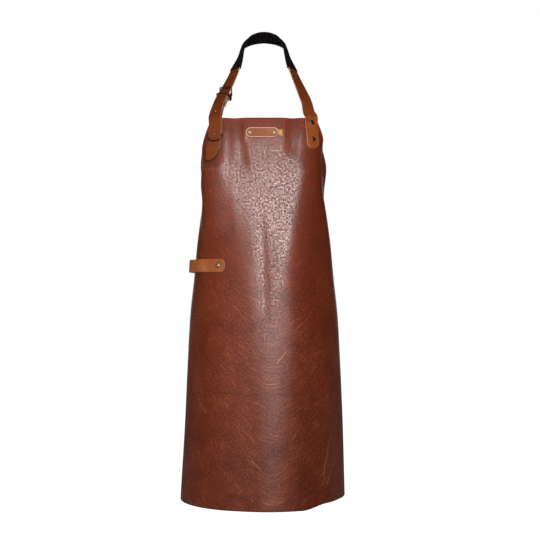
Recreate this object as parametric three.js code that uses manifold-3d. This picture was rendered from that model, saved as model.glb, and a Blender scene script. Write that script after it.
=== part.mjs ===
// A leather work apron in its worn shape: bib and skirt in one skin, neck strap with pad and buckle, bare
// patch and towel loop. Millimetres, +Z up. The front faces -Y, +X is the right-hand side as seen from the
// front, and the origin is where the neck pad bears on the nape.

import * as THREE from "three";
import { mergeVertices } from "three/addons/utils/BufferGeometryUtils.js";
import Module from "manifold-3d";

const wasm = await Module();
wasm.setup();

// Driving dimensions
const GAP = 0.3; // clearance between neighbouring pieces
const PANEL_THICKNESS = 1.8;
const BIB_TOP = -201; // height of the bib's top edge
const PANEL_LENGTH = 847; // from the top edge to the hem, straight down
const HEM_RISE = { height: 10, from: 85, to: 150 }; // the hem hangs higher on the right, across from and to
const SKIRT_LEAN = { x: -3, from: 640, to: 880 }; // the skirt swings to the left, below the top edge
const STRAP_WIDTH = 28;
const STRAP_THICKNESS = 2.6;
const PAD_WIDTH = 32;
const PAD_THICKNESS = 8;
const PAD_SLOT = { width: 29.2, thickness: 4.4 };
const WIRE_RADIUS = 1.6; // keeper ring
const BUCKLE_RADIUS = 1.4; // buckle frame bar
const PRONG_RADIUS = 1.2;
const STRAP_HOLE_RADIUS = 1.6;
const STRAP_HOLES = [18, 58, 117]; // distances from the neck strap's free tip
const END_ROUNDING = 10; // length of a strap's rounded end
const TIP_ROUNDING = { minus: 30, plus: 8, apex: 8 }; // of the free tip, which ends off its middle
const PATCH = { across: -3.3, down: 34, length: 72, width: 23, thickness: 2 };
const TAG = { length: 8, width: 14, thickness: 1.2 };
const PAD_END_HEIGHT = -86; // of the pad's two ends
const BUCKLE_HEIGHT = -137;
const KEEPER = { length: 5.5, thickness: 1.6, below: 7 }; // the leather band, below the buckle's heel bar
const RING_DOWN = 41; // of the keeper ring's sides, below the bib's top edge
const RING_BOW = 12.5; // how far its front hangs below them
const TOWEL_LOOP_DOWN = 323.5; // height of the towel loop, below the bib's top edge
const TOWEL_LOOP_DROP = 4; // its back end sits this much lower
const TOWEL_LOOP_SLACK = 11; // how far the loop stands off the panel's side

// Sections of the worn panel. down: below the top edge. front: Y of the middle. sideReach: distance along
// the leather from the middle to where it faces sideways. flatness: 1 bends evenly, more is a flat front
// with tighter sides. afterTurn: degrees per 100 mm that it goes on turning past there, negative where the
// edge flares outwards. halfWidth: flat half-width of the cut panel.
const PANEL_SECTIONS = [
  { down: 0, front: -172, sideReach: 161.6, flatness: 3.6, afterTurn: -60, halfWidth: 115.4 },
  { down: 40, front: -186, sideReach: 149, flatness: 4.4, afterTurn: -90, halfWidth: 137.8 },
  { down: 92, front: -198, sideReach: 139.5, flatness: 4.8, afterTurn: -80, halfWidth: 181 },
  { down: 157, front: -205, sideReach: 150, flatness: 3.4, afterTurn: -20, halfWidth: 210 },
  { down: 220, front: -210, sideReach: 173.8, flatness: 2.3, afterTurn: 10, halfWidth: 248 },
  { down: 317, front: -217, sideReach: 210, flatness: 1.5, afterTurn: 20, halfWidth: 298 },
  { down: 445, front: -228, sideReach: 245, flatness: 1.2, afterTurn: 20, halfWidth: 300 },
  { down: 626, front: -243, sideReach: 271, flatness: 1.05, afterTurn: 15, halfWidth: 300 },
  { down: 847, front: -258, sideReach: 291, flatness: 1.0, afterTurn: 10, halfWidth: 300 },
];

// Soft folds of the panel, each from its top end to its bottom end. across: distance right of the middle,
// along the leather. reach: half-width of the fold. height: how far it stands out, negative for a hollow.
const FOLDS = [
  { top: 60, bottom: 400, acrossTop: 92, acrossBottom: 40, reach: 24, height: 4 },
  { top: 70, bottom: 410, acrossTop: -86, acrossBottom: -40, reach: 26, height: 3 },
  { top: 330, bottom: 1100, acrossTop: 40, acrossBottom: 22, reach: 50, height: 4 },
  { top: 420, bottom: 1100, acrossTop: 90, acrossBottom: 132, reach: 48, height: -6 },
];

// Route of the neck strap's middle on the right, from the bib up to the nape, mirrored on the left. turn and
// leftTurn: the way its outer face looks on either side, from 0 at the front to 180 at the back. lift: how
// far it also looks up.
const NECK_ROUTE = [
  { x: 99.6, y: -158, z: -189.5, turn: 20, leftTurn: 22, lift: 0 },
  { x: 93.9, y: -141, z: -163.3, turn: 31, leftTurn: 34, lift: 0 },
  { x: 83, y: -128, z: -135, turn: 40, leftTurn: 36, lift: 0 },
  { x: 71.5, y: -113, z: -106.4, turn: 46, leftTurn: 40, lift: 0 },
  { x: 60.9, y: -95, z: -77.1, turn: 50, leftTurn: 46, lift: 0 },
  { x: 52.5, y: -70, z: -47.7, turn: 66, leftTurn: 66, lift: 6 },
  { x: 49.2, y: -50, z: -31.5, turn: 88, leftTurn: 88, lift: 22 },
  { x: 42.4, y: -28, z: -17.1, turn: 112, leftTurn: 112, lift: 46 },
  { x: 31.5, y: -11, z: -6.1, turn: 138, leftTurn: 138, lift: 50 },
  { x: 16, y: 0, z: 0.8, turn: 162, leftTurn: 162, lift: 50 },
];

const leather = (color, roughness) => new THREE.MeshStandardMaterial({ color, roughness, metalness: 0 });
const BODY_LEATHER = leather(0x7a4234, 0.42);
const STRAP_LEATHER = leather(0x8a4a2a, 0.55);
const PAD_CLOTH = leather(0x16151a, 0.9);
const TAG_CLOTH = leather(0xe8943c, 0.7);
const BRASS = new THREE.MeshStandardMaterial({ color: 0x8a7a5c, roughness: 0.35, metalness: 1 });

const part = new THREE.Group();
part.name = "leather_apron";

function addPiece(name, geometry, material) {
  const piece = new THREE.Mesh(geometry, material);
  piece.name = name;
  part.add(piece);
  return piece;
}

// Tables and closed meshes

// All columns of a table at one value of its key column, on a smooth curve through the rows.
function smoothRow(rows, key, at) {
  const last = rows.length - 1;
  let low = 0;
  while (low < last - 1 && at > rows[low + 1][key]) low += 1;
  const from = rows[low];
  const to = rows[low + 1];
  const span = to[key] - from[key];
  const t = (at - from[key]) / span;
  const slope = (index, column) => {
    const before = rows[Math.max(index - 1, 0)];
    const after = rows[Math.min(index + 1, last)];
    return (after[column] - before[column]) / (after[key] - before[key]);
  };
  const values = {};
  for (const column of Object.keys(from)) {
    const rise = to[column] - from[column];
    const startSlope = slope(low, column) * span;
    const endSlope = slope(low + 1, column) * span;
    const bow = (1 - t) * (startSlope - rise) - t * (endSlope - rise);
    values[column] = from[column] + t * rise + t * (1 - t) * bow;
  }
  return values;
}

const smoothStep = (at, from, to) => THREE.MathUtils.smoothstep(at, from, to);
const radians = THREE.MathUtils.degToRad;

function signedVolume(points, faces) {
  let volume = 0;
  for (const [a, b, c] of faces) {
    volume += points[a].dot(points[b].clone().cross(points[c])) / 6;
  }
  return volume;
}

// An indexed mesh whose faces point outwards.
function closedMesh(points, faces) {
  const inward = signedVolume(points, faces) < 0;
  const ordered = inward ? faces.map(([a, b, c]) => [a, c, b]) : faces;
  const geometry = new THREE.BufferGeometry().setFromPoints(points);
  geometry.setIndex(ordered.flat());
  geometry.computeVertexNormals();
  return geometry;
}

// A skin through rings of equally many points: closed on itself, or capped at both ends.
function loft(rings, closed) {
  const sides = rings[0].length;
  const points = rings.flat();
  const faces = [];
  const quads = closed ? rings.length : rings.length - 1;
  for (let ring = 0; ring < quads; ring += 1) {
    const next = (ring + 1) % rings.length;
    for (let side = 0; side < sides; side += 1) {
      const other = (side + 1) % sides;
      const a = ring * sides + side;
      const b = ring * sides + other;
      const c = next * sides + other;
      const d = next * sides + side;
      faces.push([a, b, c], [a, c, d]);
    }
  }
  if (!closed) {
    const end = (rings.length - 1) * sides;
    for (let side = 1; side < sides - 1; side += 1) {
      faces.push([0, side + 1, side], [end, end + side, end + side + 1]);
    }
  }
  return closedMesh(points, faces);
}

function toSolid(geometry) {
  const bare = new THREE.BufferGeometry();
  bare.setAttribute("position", geometry.getAttribute("position"));
  bare.setIndex(geometry.getIndex());
  const merged = mergeVertices(bare, 1e-4);
  const vertProperties = merged.getAttribute("position").array;
  const triVerts = new Uint32Array(merged.getIndex().array);
  return new wasm.Manifold(new wasm.Mesh({ numProp: 3, vertProperties, triVerts }));
}

// A piece with other closed meshes cut out of it.
function cutOut(geometry, tools) {
  let solid = toSolid(geometry);
  for (const tool of tools) solid = solid.subtract(toSolid(tool));
  const mesh = solid.getMesh();
  const result = new THREE.BufferGeometry();
  result.setAttribute("position", new THREE.BufferAttribute(mesh.vertProperties, 3));
  result.setIndex(new THREE.BufferAttribute(mesh.triVerts, 1));
  result.computeVertexNormals();
  return result;
}

// The panel

const BEND_STEPS = 60;

function bendAt(distance, section) {
  const past = distance - section.sideReach;
  if (past > 0) return 90 + (section.afterTurn * past) / 100;
  return 90 * (distance / section.sideReach) ** section.flatness;
}

// The smooth worn form, at a distance along the leather right of the middle and below the top edge.
function wornForm(across, down) {
  const section = smoothRow(PANEL_SECTIONS, "down", down);
  const step = Math.abs(across) / BEND_STEPS;
  let x = 0;
  let y = section.front;
  for (let i = 0; i < BEND_STEPS; i += 1) {
    const bend = radians(bendAt((i + 0.5) * step, section));
    x += Math.cos(bend) * step;
    y += Math.sin(bend) * step;
  }
  const lean = SKIRT_LEAN.x * smoothStep(down, SKIRT_LEAN.from, SKIRT_LEAN.to);
  return new THREE.Vector3(Math.sign(across) * x + lean, y, BIB_TOP - down);
}

function foldHeight(across, down) {
  let height = 0;
  for (const fold of FOLDS) {
    const along = (down - fold.top) / (fold.bottom - fold.top);
    if (along <= 0 || along >= 1) continue;
    const middle = THREE.MathUtils.lerp(fold.acrossTop, fold.acrossBottom, along);
    const side = (across - middle) / fold.reach;
    if (Math.abs(side) >= 1) continue;
    const ends = smoothStep(along, 0, 0.3) * (1 - smoothStep(along, 0.75, 1));
    height += fold.height * ends * (1 - side * side) ** 2;
  }
  return height;
}

// Outward direction of the panel.
function panelOut(across, down) {
  const reach = 2;
  const sideways = wornForm(across + reach, down).sub(wornForm(across - reach, down));
  const downwards = wornForm(across, down + reach).sub(wornForm(across, down - reach));
  return downwards.cross(sideways).normalize();
}

// A point of the panel's grain side, or at a height above it.
function onPanel(across, down, height = 0) {
  const out = panelOut(across, down);
  return wornForm(across, down).addScaledVector(out, height + foldHeight(across, down));
}

function panelGeometry() {
  const rows = 30;
  const columns = 28;
  const closeness = 0.55; // of the rows at the top, where the straps lie
  const grain = [];
  const flesh = [];
  for (let row = 0; row <= rows; row += 1) {
    const share = row / rows;
    const plain = PANEL_LENGTH * share * THREE.MathUtils.lerp(closeness, 1, share);
    const halfWidth = smoothRow(PANEL_SECTIONS, "down", plain).halfWidth;
    for (let column = 0; column <= columns; column += 1) {
      const across = halfWidth * ((2 * column) / columns - 1);
      const onRight = smoothStep(across, HEM_RISE.from, HEM_RISE.to);
      const rise = HEM_RISE.height * onRight * smoothStep(share, 0.5, 1);
      const down = plain - rise;
      grain.push(onPanel(across, down));
      flesh.push(onPanel(across, down, -PANEL_THICKNESS));
    }
  }
  const across = columns + 1;
  const count = grain.length;
  const faces = [];
  for (let row = 0; row < rows; row += 1) {
    for (let column = 0; column < columns; column += 1) {
      const a = row * across + column;
      const b = a + 1;
      const c = b + across;
      const d = a + across;
      faces.push([a, b, c], [a, c, d]);
      faces.push([count + a, count + c, count + b], [count + a, count + d, count + c]);
    }
  }
  const rim = [];
  for (let column = 0; column < columns; column += 1) rim.push(column);
  for (let row = 0; row < rows; row += 1) rim.push(row * across + columns);
  for (let column = columns; column > 0; column -= 1) rim.push(rows * across + column);
  for (let row = rows; row > 0; row -= 1) rim.push(row * across);
  rim.forEach((a, index) => {
    const b = rim[(index + 1) % rim.length];
    faces.push([a, count + a, count + b], [a, count + b, b]);
  });
  return closedMesh([...grain, ...flesh], faces);
}

// Straps

// A flat strap's route: its middle line, and the way its outer face looks, through the same stations.
class StrapRoute {
  constructor(stations) {
    this.middle = new THREE.CatmullRomCurve3(stations.map((station) => station.point));
    this.middle.arcLengthDivisions = 800;
    this.facing = new THREE.CatmullRomCurve3(stations.map((station) => station.out), false, "catmullrom");
    this.length = this.middle.getLength();
  }

  // Place and directions at a distance from the start: along the strap, out of its face, and to its side.
  at(distance) {
    const share = THREE.MathUtils.clamp(distance / this.length, 0, 1);
    const t = this.middle.getUtoTmapping(share);
    const along = this.middle.getTangent(t);
    const out = this.facing.getPoint(t);
    out.addScaledVector(along, -out.dot(along)).normalize();
    const side = along.clone().cross(out).normalize();
    return { point: this.middle.getPoint(t), along, out, side };
  }

  // A point beside the route: to its side, and above its middle.
  beside(distance, sideways, height) {
    const place = this.at(distance);
    return place.point.addScaledVector(place.side, sideways).addScaledVector(place.out, height);
  }

  // The distance at which the middle line passes a height, searched from one end.
  distanceAtHeight(z, fromEnd) {
    const step = 0.5;
    let distance = 0;
    const measured = () => (fromEnd ? this.length - distance : distance);
    const start = this.middle.getPoint(fromEnd ? 1 : 0).z;
    while (distance < this.length) {
      const here = this.at(measured()).point.z;
      if ((here - z) * (start - z) <= 0) break;
      distance += step;
    }
    return measured();
  }
}

// Half-width factor of a rounded end, at a distance from its tip.
function endRounding(fromTip, endLength) {
  const share = THREE.MathUtils.clamp(1 - fromTip / endLength, 0, 1);
  return Math.sqrt(1 - share * share);
}

// Distances along a strap: close together at its rounded ends, even between.
function strapSteps(route, { spacing, start, finish }) {
  const angles = [14, 28, 42, 58, 74];
  const longest = (end) => (end ? Math.max(end.minus, end.plus) : 0);
  const inEnd = (end) => (end ? angles.map((angle) => longest(end) * (1 - Math.cos(radians(angle)))) : []);
  const from = longest(start);
  const to = route.length - longest(finish);
  const count = Math.max(2, Math.round((to - from) / spacing));
  const steps = inEnd(start);
  for (let i = 0; i <= count; i += 1) steps.push(THREE.MathUtils.lerp(from, to, i / count));
  for (const tip of inEnd(finish).reverse()) steps.push(route.length - tip);
  return steps;
}

// A flat strap along a route. Each end gives the length of its rounding on the two sides, or nothing, and
// the finish may give how far to the side its tip ends.
function strapGeometry(route, shape) {
  const { width, thickness, start, finish } = shape;
  const apex = finish?.apex ?? 0;
  const edge = (distance, key, sideways) => {
    const opened = start ? endRounding(distance, start[key]) : 1;
    const closed = finish ? endRounding(route.length - distance, finish[key]) : 1;
    return (apex + (sideways - apex) * closed) * opened;
  };
  const rings = strapSteps(route, shape).map((distance) => {
    const minus = edge(distance, "minus", -width / 2);
    const plus = edge(distance, "plus", width / 2);
    const half = thickness / 2;
    return [
      route.beside(distance, minus, half),
      route.beside(distance, plus, half),
      route.beside(distance, plus, -half),
      route.beside(distance, minus, -half),
    ];
  });
  return loft(rings, false);
}

// A round bar along a curve, as an endless loop or with two flat ends.
function barGeometry(curve, radius, steps, sides, closed) {
  const frames = curve.computeFrenetFrames(steps, closed);
  const rings = [];
  const count = closed ? steps : steps + 1;
  for (let step = 0; step < count; step += 1) {
    const middle = curve.getPointAt(step / steps);
    const ring = [];
    for (let side = 0; side < sides; side += 1) {
      const angle = (2 * Math.PI * side) / sides;
      const place = middle.clone();
      place.addScaledVector(frames.normals[step], radius * Math.cos(angle));
      place.addScaledVector(frames.binormals[step], radius * Math.sin(angle));
      ring.push(place);
    }
    rings.push(ring);
  }
  return loft(rings, closed);
}

// A station of a strap that lies on the panel.
function panelStation(across, down, height) {
  return { point: onPanel(across, down, height), out: panelOut(across, down) };
}

function neckStation(row, mirror) {
  const turn = radians(mirror > 0 ? row.turn : row.leftTurn);
  const level = Math.cos(radians(row.lift));
  const out = new THREE.Vector3(mirror * Math.sin(turn) * level, -Math.cos(turn) * level, 0);
  out.z = Math.sin(radians(row.lift));
  return { point: new THREE.Vector3(mirror * row.x, row.y, row.z), out };
}

// The neck strap

const ON_PANEL = GAP + STRAP_THICKNESS / 2; // height of a strap's middle that lies on the panel
const EDGE_LIFT = 1.2; // how far a strap bends clear of the bib's top edge
const RING_ROOM = 2 * WIRE_RADIUS + 3 * GAP; // room for the keeper ring's back bar under the buckle strap
const FREE_END_HEIGHT = RING_ROOM + 1.5 * STRAP_THICKNESS + 3 * GAP; // over the buckle strap
const NAPE_TILT = radians(50);
const napeOut = new THREE.Vector3(0, Math.cos(NAPE_TILT), Math.sin(NAPE_TILT));
const nape = { point: napeOut.clone().multiplyScalar(PAD_THICKNESS / 2), out: napeOut };

const rightBib = [
  panelStation(108.5, 68, ON_PANEL),
  panelStation(107.4, 49, ON_PANEL),
  panelStation(106, 28, ON_PANEL),
  panelStation(104.9, 12, ON_PANEL),
  panelStation(104.7, 6, ON_PANEL),
  panelStation(104.5, 0, ON_PANEL + EDGE_LIFT),
];
const leftBib = [
  panelStation(-105, 2, FREE_END_HEIGHT),
  panelStation(-103.6, 22, FREE_END_HEIGHT),
  panelStation(-104.6, 45, FREE_END_HEIGHT),
  panelStation(-107.6, 68, FREE_END_HEIGHT),
  panelStation(-112.8, 96, FREE_END_HEIGHT),
];
const LEFT_SPREAD = { x: 6, y: -7 }; // the left strap hangs further out, over the buckle
const leftRoute = NECK_ROUTE.map((row) => {
  const spread = smoothStep(-row.z, 110, 190);
  return { ...row, x: row.x + LEFT_SPREAD.x * spread, y: row.y + LEFT_SPREAD.y * spread };
});
const neckRoute = new StrapRoute([
  ...rightBib,
  ...NECK_ROUTE.map((row) => neckStation(row, 1)),
  nape,
  ...leftRoute.reverse().map((row) => neckStation(row, -1)),
  ...leftBib,
]);

// The buckle's own directions: up the strap, across it and out of its face.
const buckleAt = neckRoute.distanceAtHeight(BUCKLE_HEIGHT, true);
const buckle = neckRoute.at(buckleAt);
const BUCKLE_CLEAR = 0.8; // clearance of the straps inside the buckle and the keepers
const FRAME_HALF_WIDTH = STRAP_WIDTH / 2 + BUCKLE_CLEAR + BUCKLE_RADIUS;
const FRAME_HALF_LENGTH = 6;
const FRAME_CORNER = 2;
const FRONT_BAR_HEIGHT = STRAP_THICKNESS / 2 + BUCKLE_CLEAR + BUCKLE_RADIUS;
const FOLD_CLEAR = 1.5; // round the heel bar
const FOLD_RADIUS = BUCKLE_RADIUS + FOLD_CLEAR + STRAP_THICKNESS / 2;
const LAYER = STRAP_THICKNESS + 4 * GAP; // from one strap's middle to the next one's
const HEEL_BAR_HEIGHT = -LAYER - FOLD_RADIUS;
const heelAt = buckleAt + FRAME_HALF_LENGTH;

function atBuckle(up, side, height) {
  return buckle.point
    .clone()
    .addScaledVector(buckle.along, -up)
    .addScaledVector(buckle.side, side)
    .addScaledVector(buckle.out, height);
}

// A rectangle with rounded corners, tilted from the heel bar up to the front bar.
function buckleFrameCurve() {
  const tilt = (FRONT_BAR_HEIGHT - HEEL_BAR_HEIGHT) / (2 * FRAME_HALF_LENGTH);
  const middle = (FRONT_BAR_HEIGHT + HEEL_BAR_HEIGHT) / 2;
  const place = (side, up) => atBuckle(up, side, middle + tilt * up);
  const frame = new THREE.CurvePath();
  let from = place(FRAME_HALF_WIDTH, FRAME_CORNER - FRAME_HALF_LENGTH);
  for (const [right, top, upwards] of [
    [1, 1, true],
    [-1, 1, false],
    [-1, -1, true],
    [1, -1, false],
  ]) {
    const side = right * FRAME_HALF_WIDTH;
    const up = top * FRAME_HALF_LENGTH;
    const nearSide = side - right * FRAME_CORNER;
    const nearUp = up - top * FRAME_CORNER;
    const before = upwards ? place(side, nearUp) : place(nearSide, up);
    const after = upwards ? place(nearSide, up) : place(side, nearUp);
    frame.add(new THREE.LineCurve3(from, before));
    frame.add(new THREE.QuadraticBezierCurve3(before, place(side, up), after));
    from = after;
  }
  return frame;
}

const PRONG = { through: -1.5, meetsBar: -2, past: 3 }; // up from the middle, and from the front bar

function prongCurve() {
  const points = [];
  const hook = BUCKLE_RADIUS + GAP + PRONG_RADIUS;
  for (const angle of [250, 200, 150, 100]) {
    const up = -FRAME_HALF_LENGTH + hook * Math.cos(radians(angle));
    points.push(atBuckle(up, 0, HEEL_BAR_HEIGHT + hook * Math.sin(radians(angle))));
  }
  const overBar = FRONT_BAR_HEIGHT + BUCKLE_RADIUS + GAP + PRONG_RADIUS;
  points.push(atBuckle(PRONG.through, 0, 0));
  points.push(atBuckle(FRAME_HALF_LENGTH + PRONG.meetsBar, 0, overBar));
  points.push(atBuckle(FRAME_HALF_LENGTH + PRONG.past, 0, overBar));
  return new THREE.CatmullRomCurve3(points);
}

// A short round tool that punches a hole through a strap.
function punch(route, distance, radius) {
  const place = route.at(distance);
  const reach = 3;
  const from = place.point.clone().addScaledVector(place.out, -reach);
  const to = place.point.clone().addScaledVector(place.out, reach);
  return barGeometry(new THREE.LineCurve3(from, to), radius, 1, 8, false);
}

// The neck pad: a sleeve round the middle of the neck strap. Its cross-section is square at 0 and oval at 1.
const PAD_SQUARENESS = 0.45;
const SLOT_SQUARENESS = 0.1;

function sleeveRing(route, distance, halfWidth, halfThickness, squareness) {
  const ring = [];
  for (let angle = 0; angle < 360; angle += 30) {
    const cosine = Math.cos(radians(angle));
    const sine = Math.sin(radians(angle));
    const sideways = halfWidth * Math.sign(cosine) * Math.abs(cosine) ** squareness;
    const height = halfThickness * Math.sign(sine) * Math.abs(sine) ** squareness;
    ring.push(route.beside(distance, sideways, height));
  }
  return ring;
}

function padGeometry(route, steps) {
  const outer = steps.map((distance) => {
    return sleeveRing(route, distance, PAD_WIDTH / 2, PAD_THICKNESS / 2, PAD_SQUARENESS);
  });
  const slot = steps.map((distance) => {
    return sleeveRing(route, distance, PAD_SLOT.width / 2, PAD_SLOT.thickness / 2, SLOT_SQUARENESS);
  });
  return loft([...outer, ...slot.reverse()], true);
}

// The buckle strap: up from the bib behind the free end, round the heel bar and back down behind itself.
const RETURN_LENGTH = 36;
const FOLD_MEETS = { from: 3, to: 15 }; // below the heel bar, where its two layers come together
const freeRun = neckRoute.distanceAtHeight(BIB_TOP, true) - heelAt;

// Height of the buckle strap's front layer over the neck strap's middle, at a distance below the heel bar.
function frontLayer(below) {
  return THREE.MathUtils.lerp(-LAYER, ON_PANEL - FREE_END_HEIGHT, below / freeRun);
}

function backLayer(below) {
  const closing = smoothStep(below, FOLD_MEETS.from, FOLD_MEETS.to);
  return frontLayer(below) - THREE.MathUtils.lerp(2 * FOLD_RADIUS, LAYER, closing);
}

function buckleStrapRoute() {
  const onBib = [
    { across: -108.7, down: 74, height: ON_PANEL },
    { across: -107.2, down: 63, height: ON_PANEL },
    { across: -106.1, down: 56, height: ON_PANEL + RING_ROOM / 8 },
    { across: -105.1, down: 48, height: ON_PANEL + RING_ROOM * 0.7 },
    { across: -104.3, down: 40, height: ON_PANEL + RING_ROOM },
    { across: -103.9, down: 32, height: ON_PANEL + RING_ROOM },
    { across: -103.7, down: 19, height: ON_PANEL + RING_ROOM / 4 },
    { across: -104.2, down: 10, height: ON_PANEL },
    { across: -104.6, down: 4, height: ON_PANEL },
    { across: -105, down: -1, height: ON_PANEL + EDGE_LIFT },
  ];
  const stations = onBib.map(({ across, down, height }) => panelStation(across, down, height));
  const beside = (below, height) => neckRoute.beside(heelAt + below, 0, height);
  const facing = (below) => neckRoute.at(heelAt + below).out;
  for (const share of [0.85, 0.65, 0.45, 0.25, 0.1]) {
    const below = share * freeRun;
    stations.push({ point: beside(below, frontLayer(below)), out: facing(below) });
  }
  for (const angle of [85, 45, 5, -35, -75]) {
    const outwards = Math.sin(radians(angle));
    const upwards = Math.cos(radians(angle));
    const up = -FRAME_HALF_LENGTH + FOLD_RADIUS * upwards;
    const out = buckle.out.clone().multiplyScalar(outwards).addScaledVector(buckle.along, -upwards);
    stations.push({ point: atBuckle(up, 0, HEEL_BAR_HEIGHT + FOLD_RADIUS * outwards), out });
  }
  for (const share of [0.15, 0.3, 0.45, 0.7, 1]) {
    const below = share * RETURN_LENGTH;
    stations.push({ point: beside(below, backLayer(below)), out: facing(below).negate() });
  }
  return new StrapRoute(stations);
}

// The leather keeper: a band round the neck strap and both layers of the buckle strap.
function keeperGeometry() {
  const place = neckRoute.at(heelAt + KEEPER.below);
  const halfLength = KEEPER.length / 2;
  const top = STRAP_THICKNESS / 2 + BUCKLE_CLEAR;
  const bottom = backLayer(KEEPER.below - halfLength) - STRAP_THICKNESS / 2 - BUCKLE_CLEAR;
  const half = STRAP_WIDTH / 2 + BUCKLE_CLEAR;
  const bend = 1.2;
  const outline = (grow) => [
    [half - bend, top + grow],
    [half + grow, top - bend],
    [half + grow, bottom + bend],
    [half - bend, bottom - grow],
    [bend - half, bottom - grow],
    [-half - grow, bottom + bend],
    [-half - grow, top - bend],
    [bend - half, top + grow],
  ];
  const corner = ([sideways, height], along) =>
    place.point
      .clone()
      .addScaledVector(place.side, sideways)
      .addScaledVector(place.out, height)
      .addScaledVector(place.along, along);
  const inner = outline(0);
  const rings = outline(KEEPER.thickness).map((outer, index) => [
    corner(outer, -halfLength),
    corner(outer, halfLength),
    corner(inner[index], halfLength),
    corner(inner[index], -halfLength),
  ]);
  return loft(rings, true);
}

// The keeper ring: a wire that lies in a bow over the free end and runs back behind the buckle strap.
function keeperRingCurve() {
  const at = neckRoute.distanceAtHeight(BIB_TOP - RING_DOWN, true);
  const side = STRAP_WIDTH / 2 + BUCKLE_CLEAR + WIRE_RADIUS;
  const front = STRAP_THICKNESS / 2 + BUCKLE_CLEAR + WIRE_RADIUS;
  const back = GAP + WIRE_RADIUS - FREE_END_HEIGHT;
  const points = [];
  for (const angle of [0, 25, 55, 90, 125, 155, 180]) {
    const sideways = side * Math.cos(radians(angle));
    points.push(neckRoute.beside(at + RING_BOW * Math.sin(radians(angle)), sideways, front));
  }
  const behind = [
    { sideways: -side, up: 2, height: (front + back) / 2 },
    { sideways: 0.7 - side, up: 3, height: back + 1 },
    { sideways: 3 - side, up: 3, height: back },
    { sideways: 0, up: 3, height: back },
    { sideways: side - 3, up: 3, height: back },
    { sideways: side - 0.7, up: 3, height: back + 1 },
    { sideways: side, up: 2, height: (front + back) / 2 },
  ];
  for (const { sideways, up, height } of behind) points.push(neckRoute.beside(at - up, sideways, height));
  return new THREE.CatmullRomCurve3(points, true, "centripetal");
}

// Patch, tag and towel loop: straps that run sideways on the panel.
function sidewaysRoute(from, to, count, down, heightAt) {
  const stations = [];
  for (let i = 0; i <= count; i += 1) {
    const across = THREE.MathUtils.lerp(from, to, i / count);
    stations.push(panelStation(across, down(across), heightAt(across)));
  }
  return new StrapRoute(stations);
}

const patchRoute = sidewaysRoute(
  PATCH.across - PATCH.length / 2,
  PATCH.across + PATCH.length / 2,
  8,
  () => PATCH.down,
  () => GAP + PATCH.thickness / 2,
);
const tagFrom = PATCH.across + PATCH.length / 2 + GAP;
const tagRoute = sidewaysRoute(
  tagFrom,
  tagFrom + TAG.length,
  2,
  () => PATCH.down,
  () => GAP + TAG.thickness / 2,
);

const TOWEL = { front: -85.5, leaves: -122, meets: -262, back: -287 };
const towelRoute = sidewaysRoute(
  TOWEL.front,
  TOWEL.back,
  18,
  (across) => TOWEL_LOOP_DOWN + TOWEL_LOOP_DROP * smoothStep(-across, -TOWEL.leaves, -TOWEL.back),
  (across) => {
    const middle = (TOWEL.leaves + TOWEL.meets) / 2;
    const share = (across - middle) / ((TOWEL.leaves - TOWEL.meets) / 2);
    const slack = Math.abs(share) < 1 ? TOWEL_LOOP_SLACK * (1 - share * share) ** 2 : 0;
    return ON_PANEL + slack;
  },
);

// Rivets

const DOME_RIVET = { headRadius: 5.3, headHeight: 2.4, postRadius: 2, backRadius: 3.8, backHeight: 1 };
const LOW_RIVET = { headRadius: 4.2, headHeight: 1, postRadius: 2, backRadius: 3.8, backHeight: 1 };
const PATCH_RIVET = { headRadius: 4, headHeight: 1.9, postRadius: 1.5, backRadius: 3.2, backHeight: 0.9 };
const RIVET_SIDES = 12;
const HEAD_GAP = 0.4; // under a rivet's head
const BACK_CAP_GAP = 0.8; // the cap is flat and the leather hollow there

// A rivet on the panel: its head over what it holds, its back cap behind the leather.
function rivetGeometry({ on, kind, across, down }) {
  const under = (on === "patch" ? PATCH_STACK : STACK) + HEAD_GAP;
  const behind = -PANEL_THICKNESS - BACK_CAP_GAP;
  const profile = [
    new THREE.Vector2(0, under + kind.headHeight),
    new THREE.Vector2(0.5 * kind.headRadius, under + 0.9 * kind.headHeight),
    new THREE.Vector2(0.85 * kind.headRadius, under + 0.55 * kind.headHeight),
    new THREE.Vector2(kind.headRadius, under + 0.15 * kind.headHeight),
    new THREE.Vector2(kind.headRadius, under),
    new THREE.Vector2(kind.postRadius, under),
    new THREE.Vector2(kind.postRadius, behind),
    new THREE.Vector2(kind.backRadius, behind),
    new THREE.Vector2(0.8 * kind.backRadius, behind - kind.backHeight),
    new THREE.Vector2(0, behind - kind.backHeight),
  ];
  const geometry = new THREE.LatheGeometry(profile.reverse(), RIVET_SIDES);
  geometry.deleteAttribute("normal");
  geometry.deleteAttribute("uv");
  const merged = mergeVertices(geometry, 1e-4);
  const out = panelOut(across, down);
  merged.applyQuaternion(new THREE.Quaternion().setFromUnitVectors(new THREE.Vector3(0, 1, 0), out));
  const seat = onPanel(across, down);
  return merged.translate(seat.x, seat.y, seat.z);
}

function postHole({ kind, across, down }) {
  const reach = 14;
  const line = new THREE.LineCurve3(onPanel(across, down, -reach), onPanel(across, down, reach));
  return barGeometry(line, kind.postRadius + GAP, 1, 8, false);
}

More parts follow.
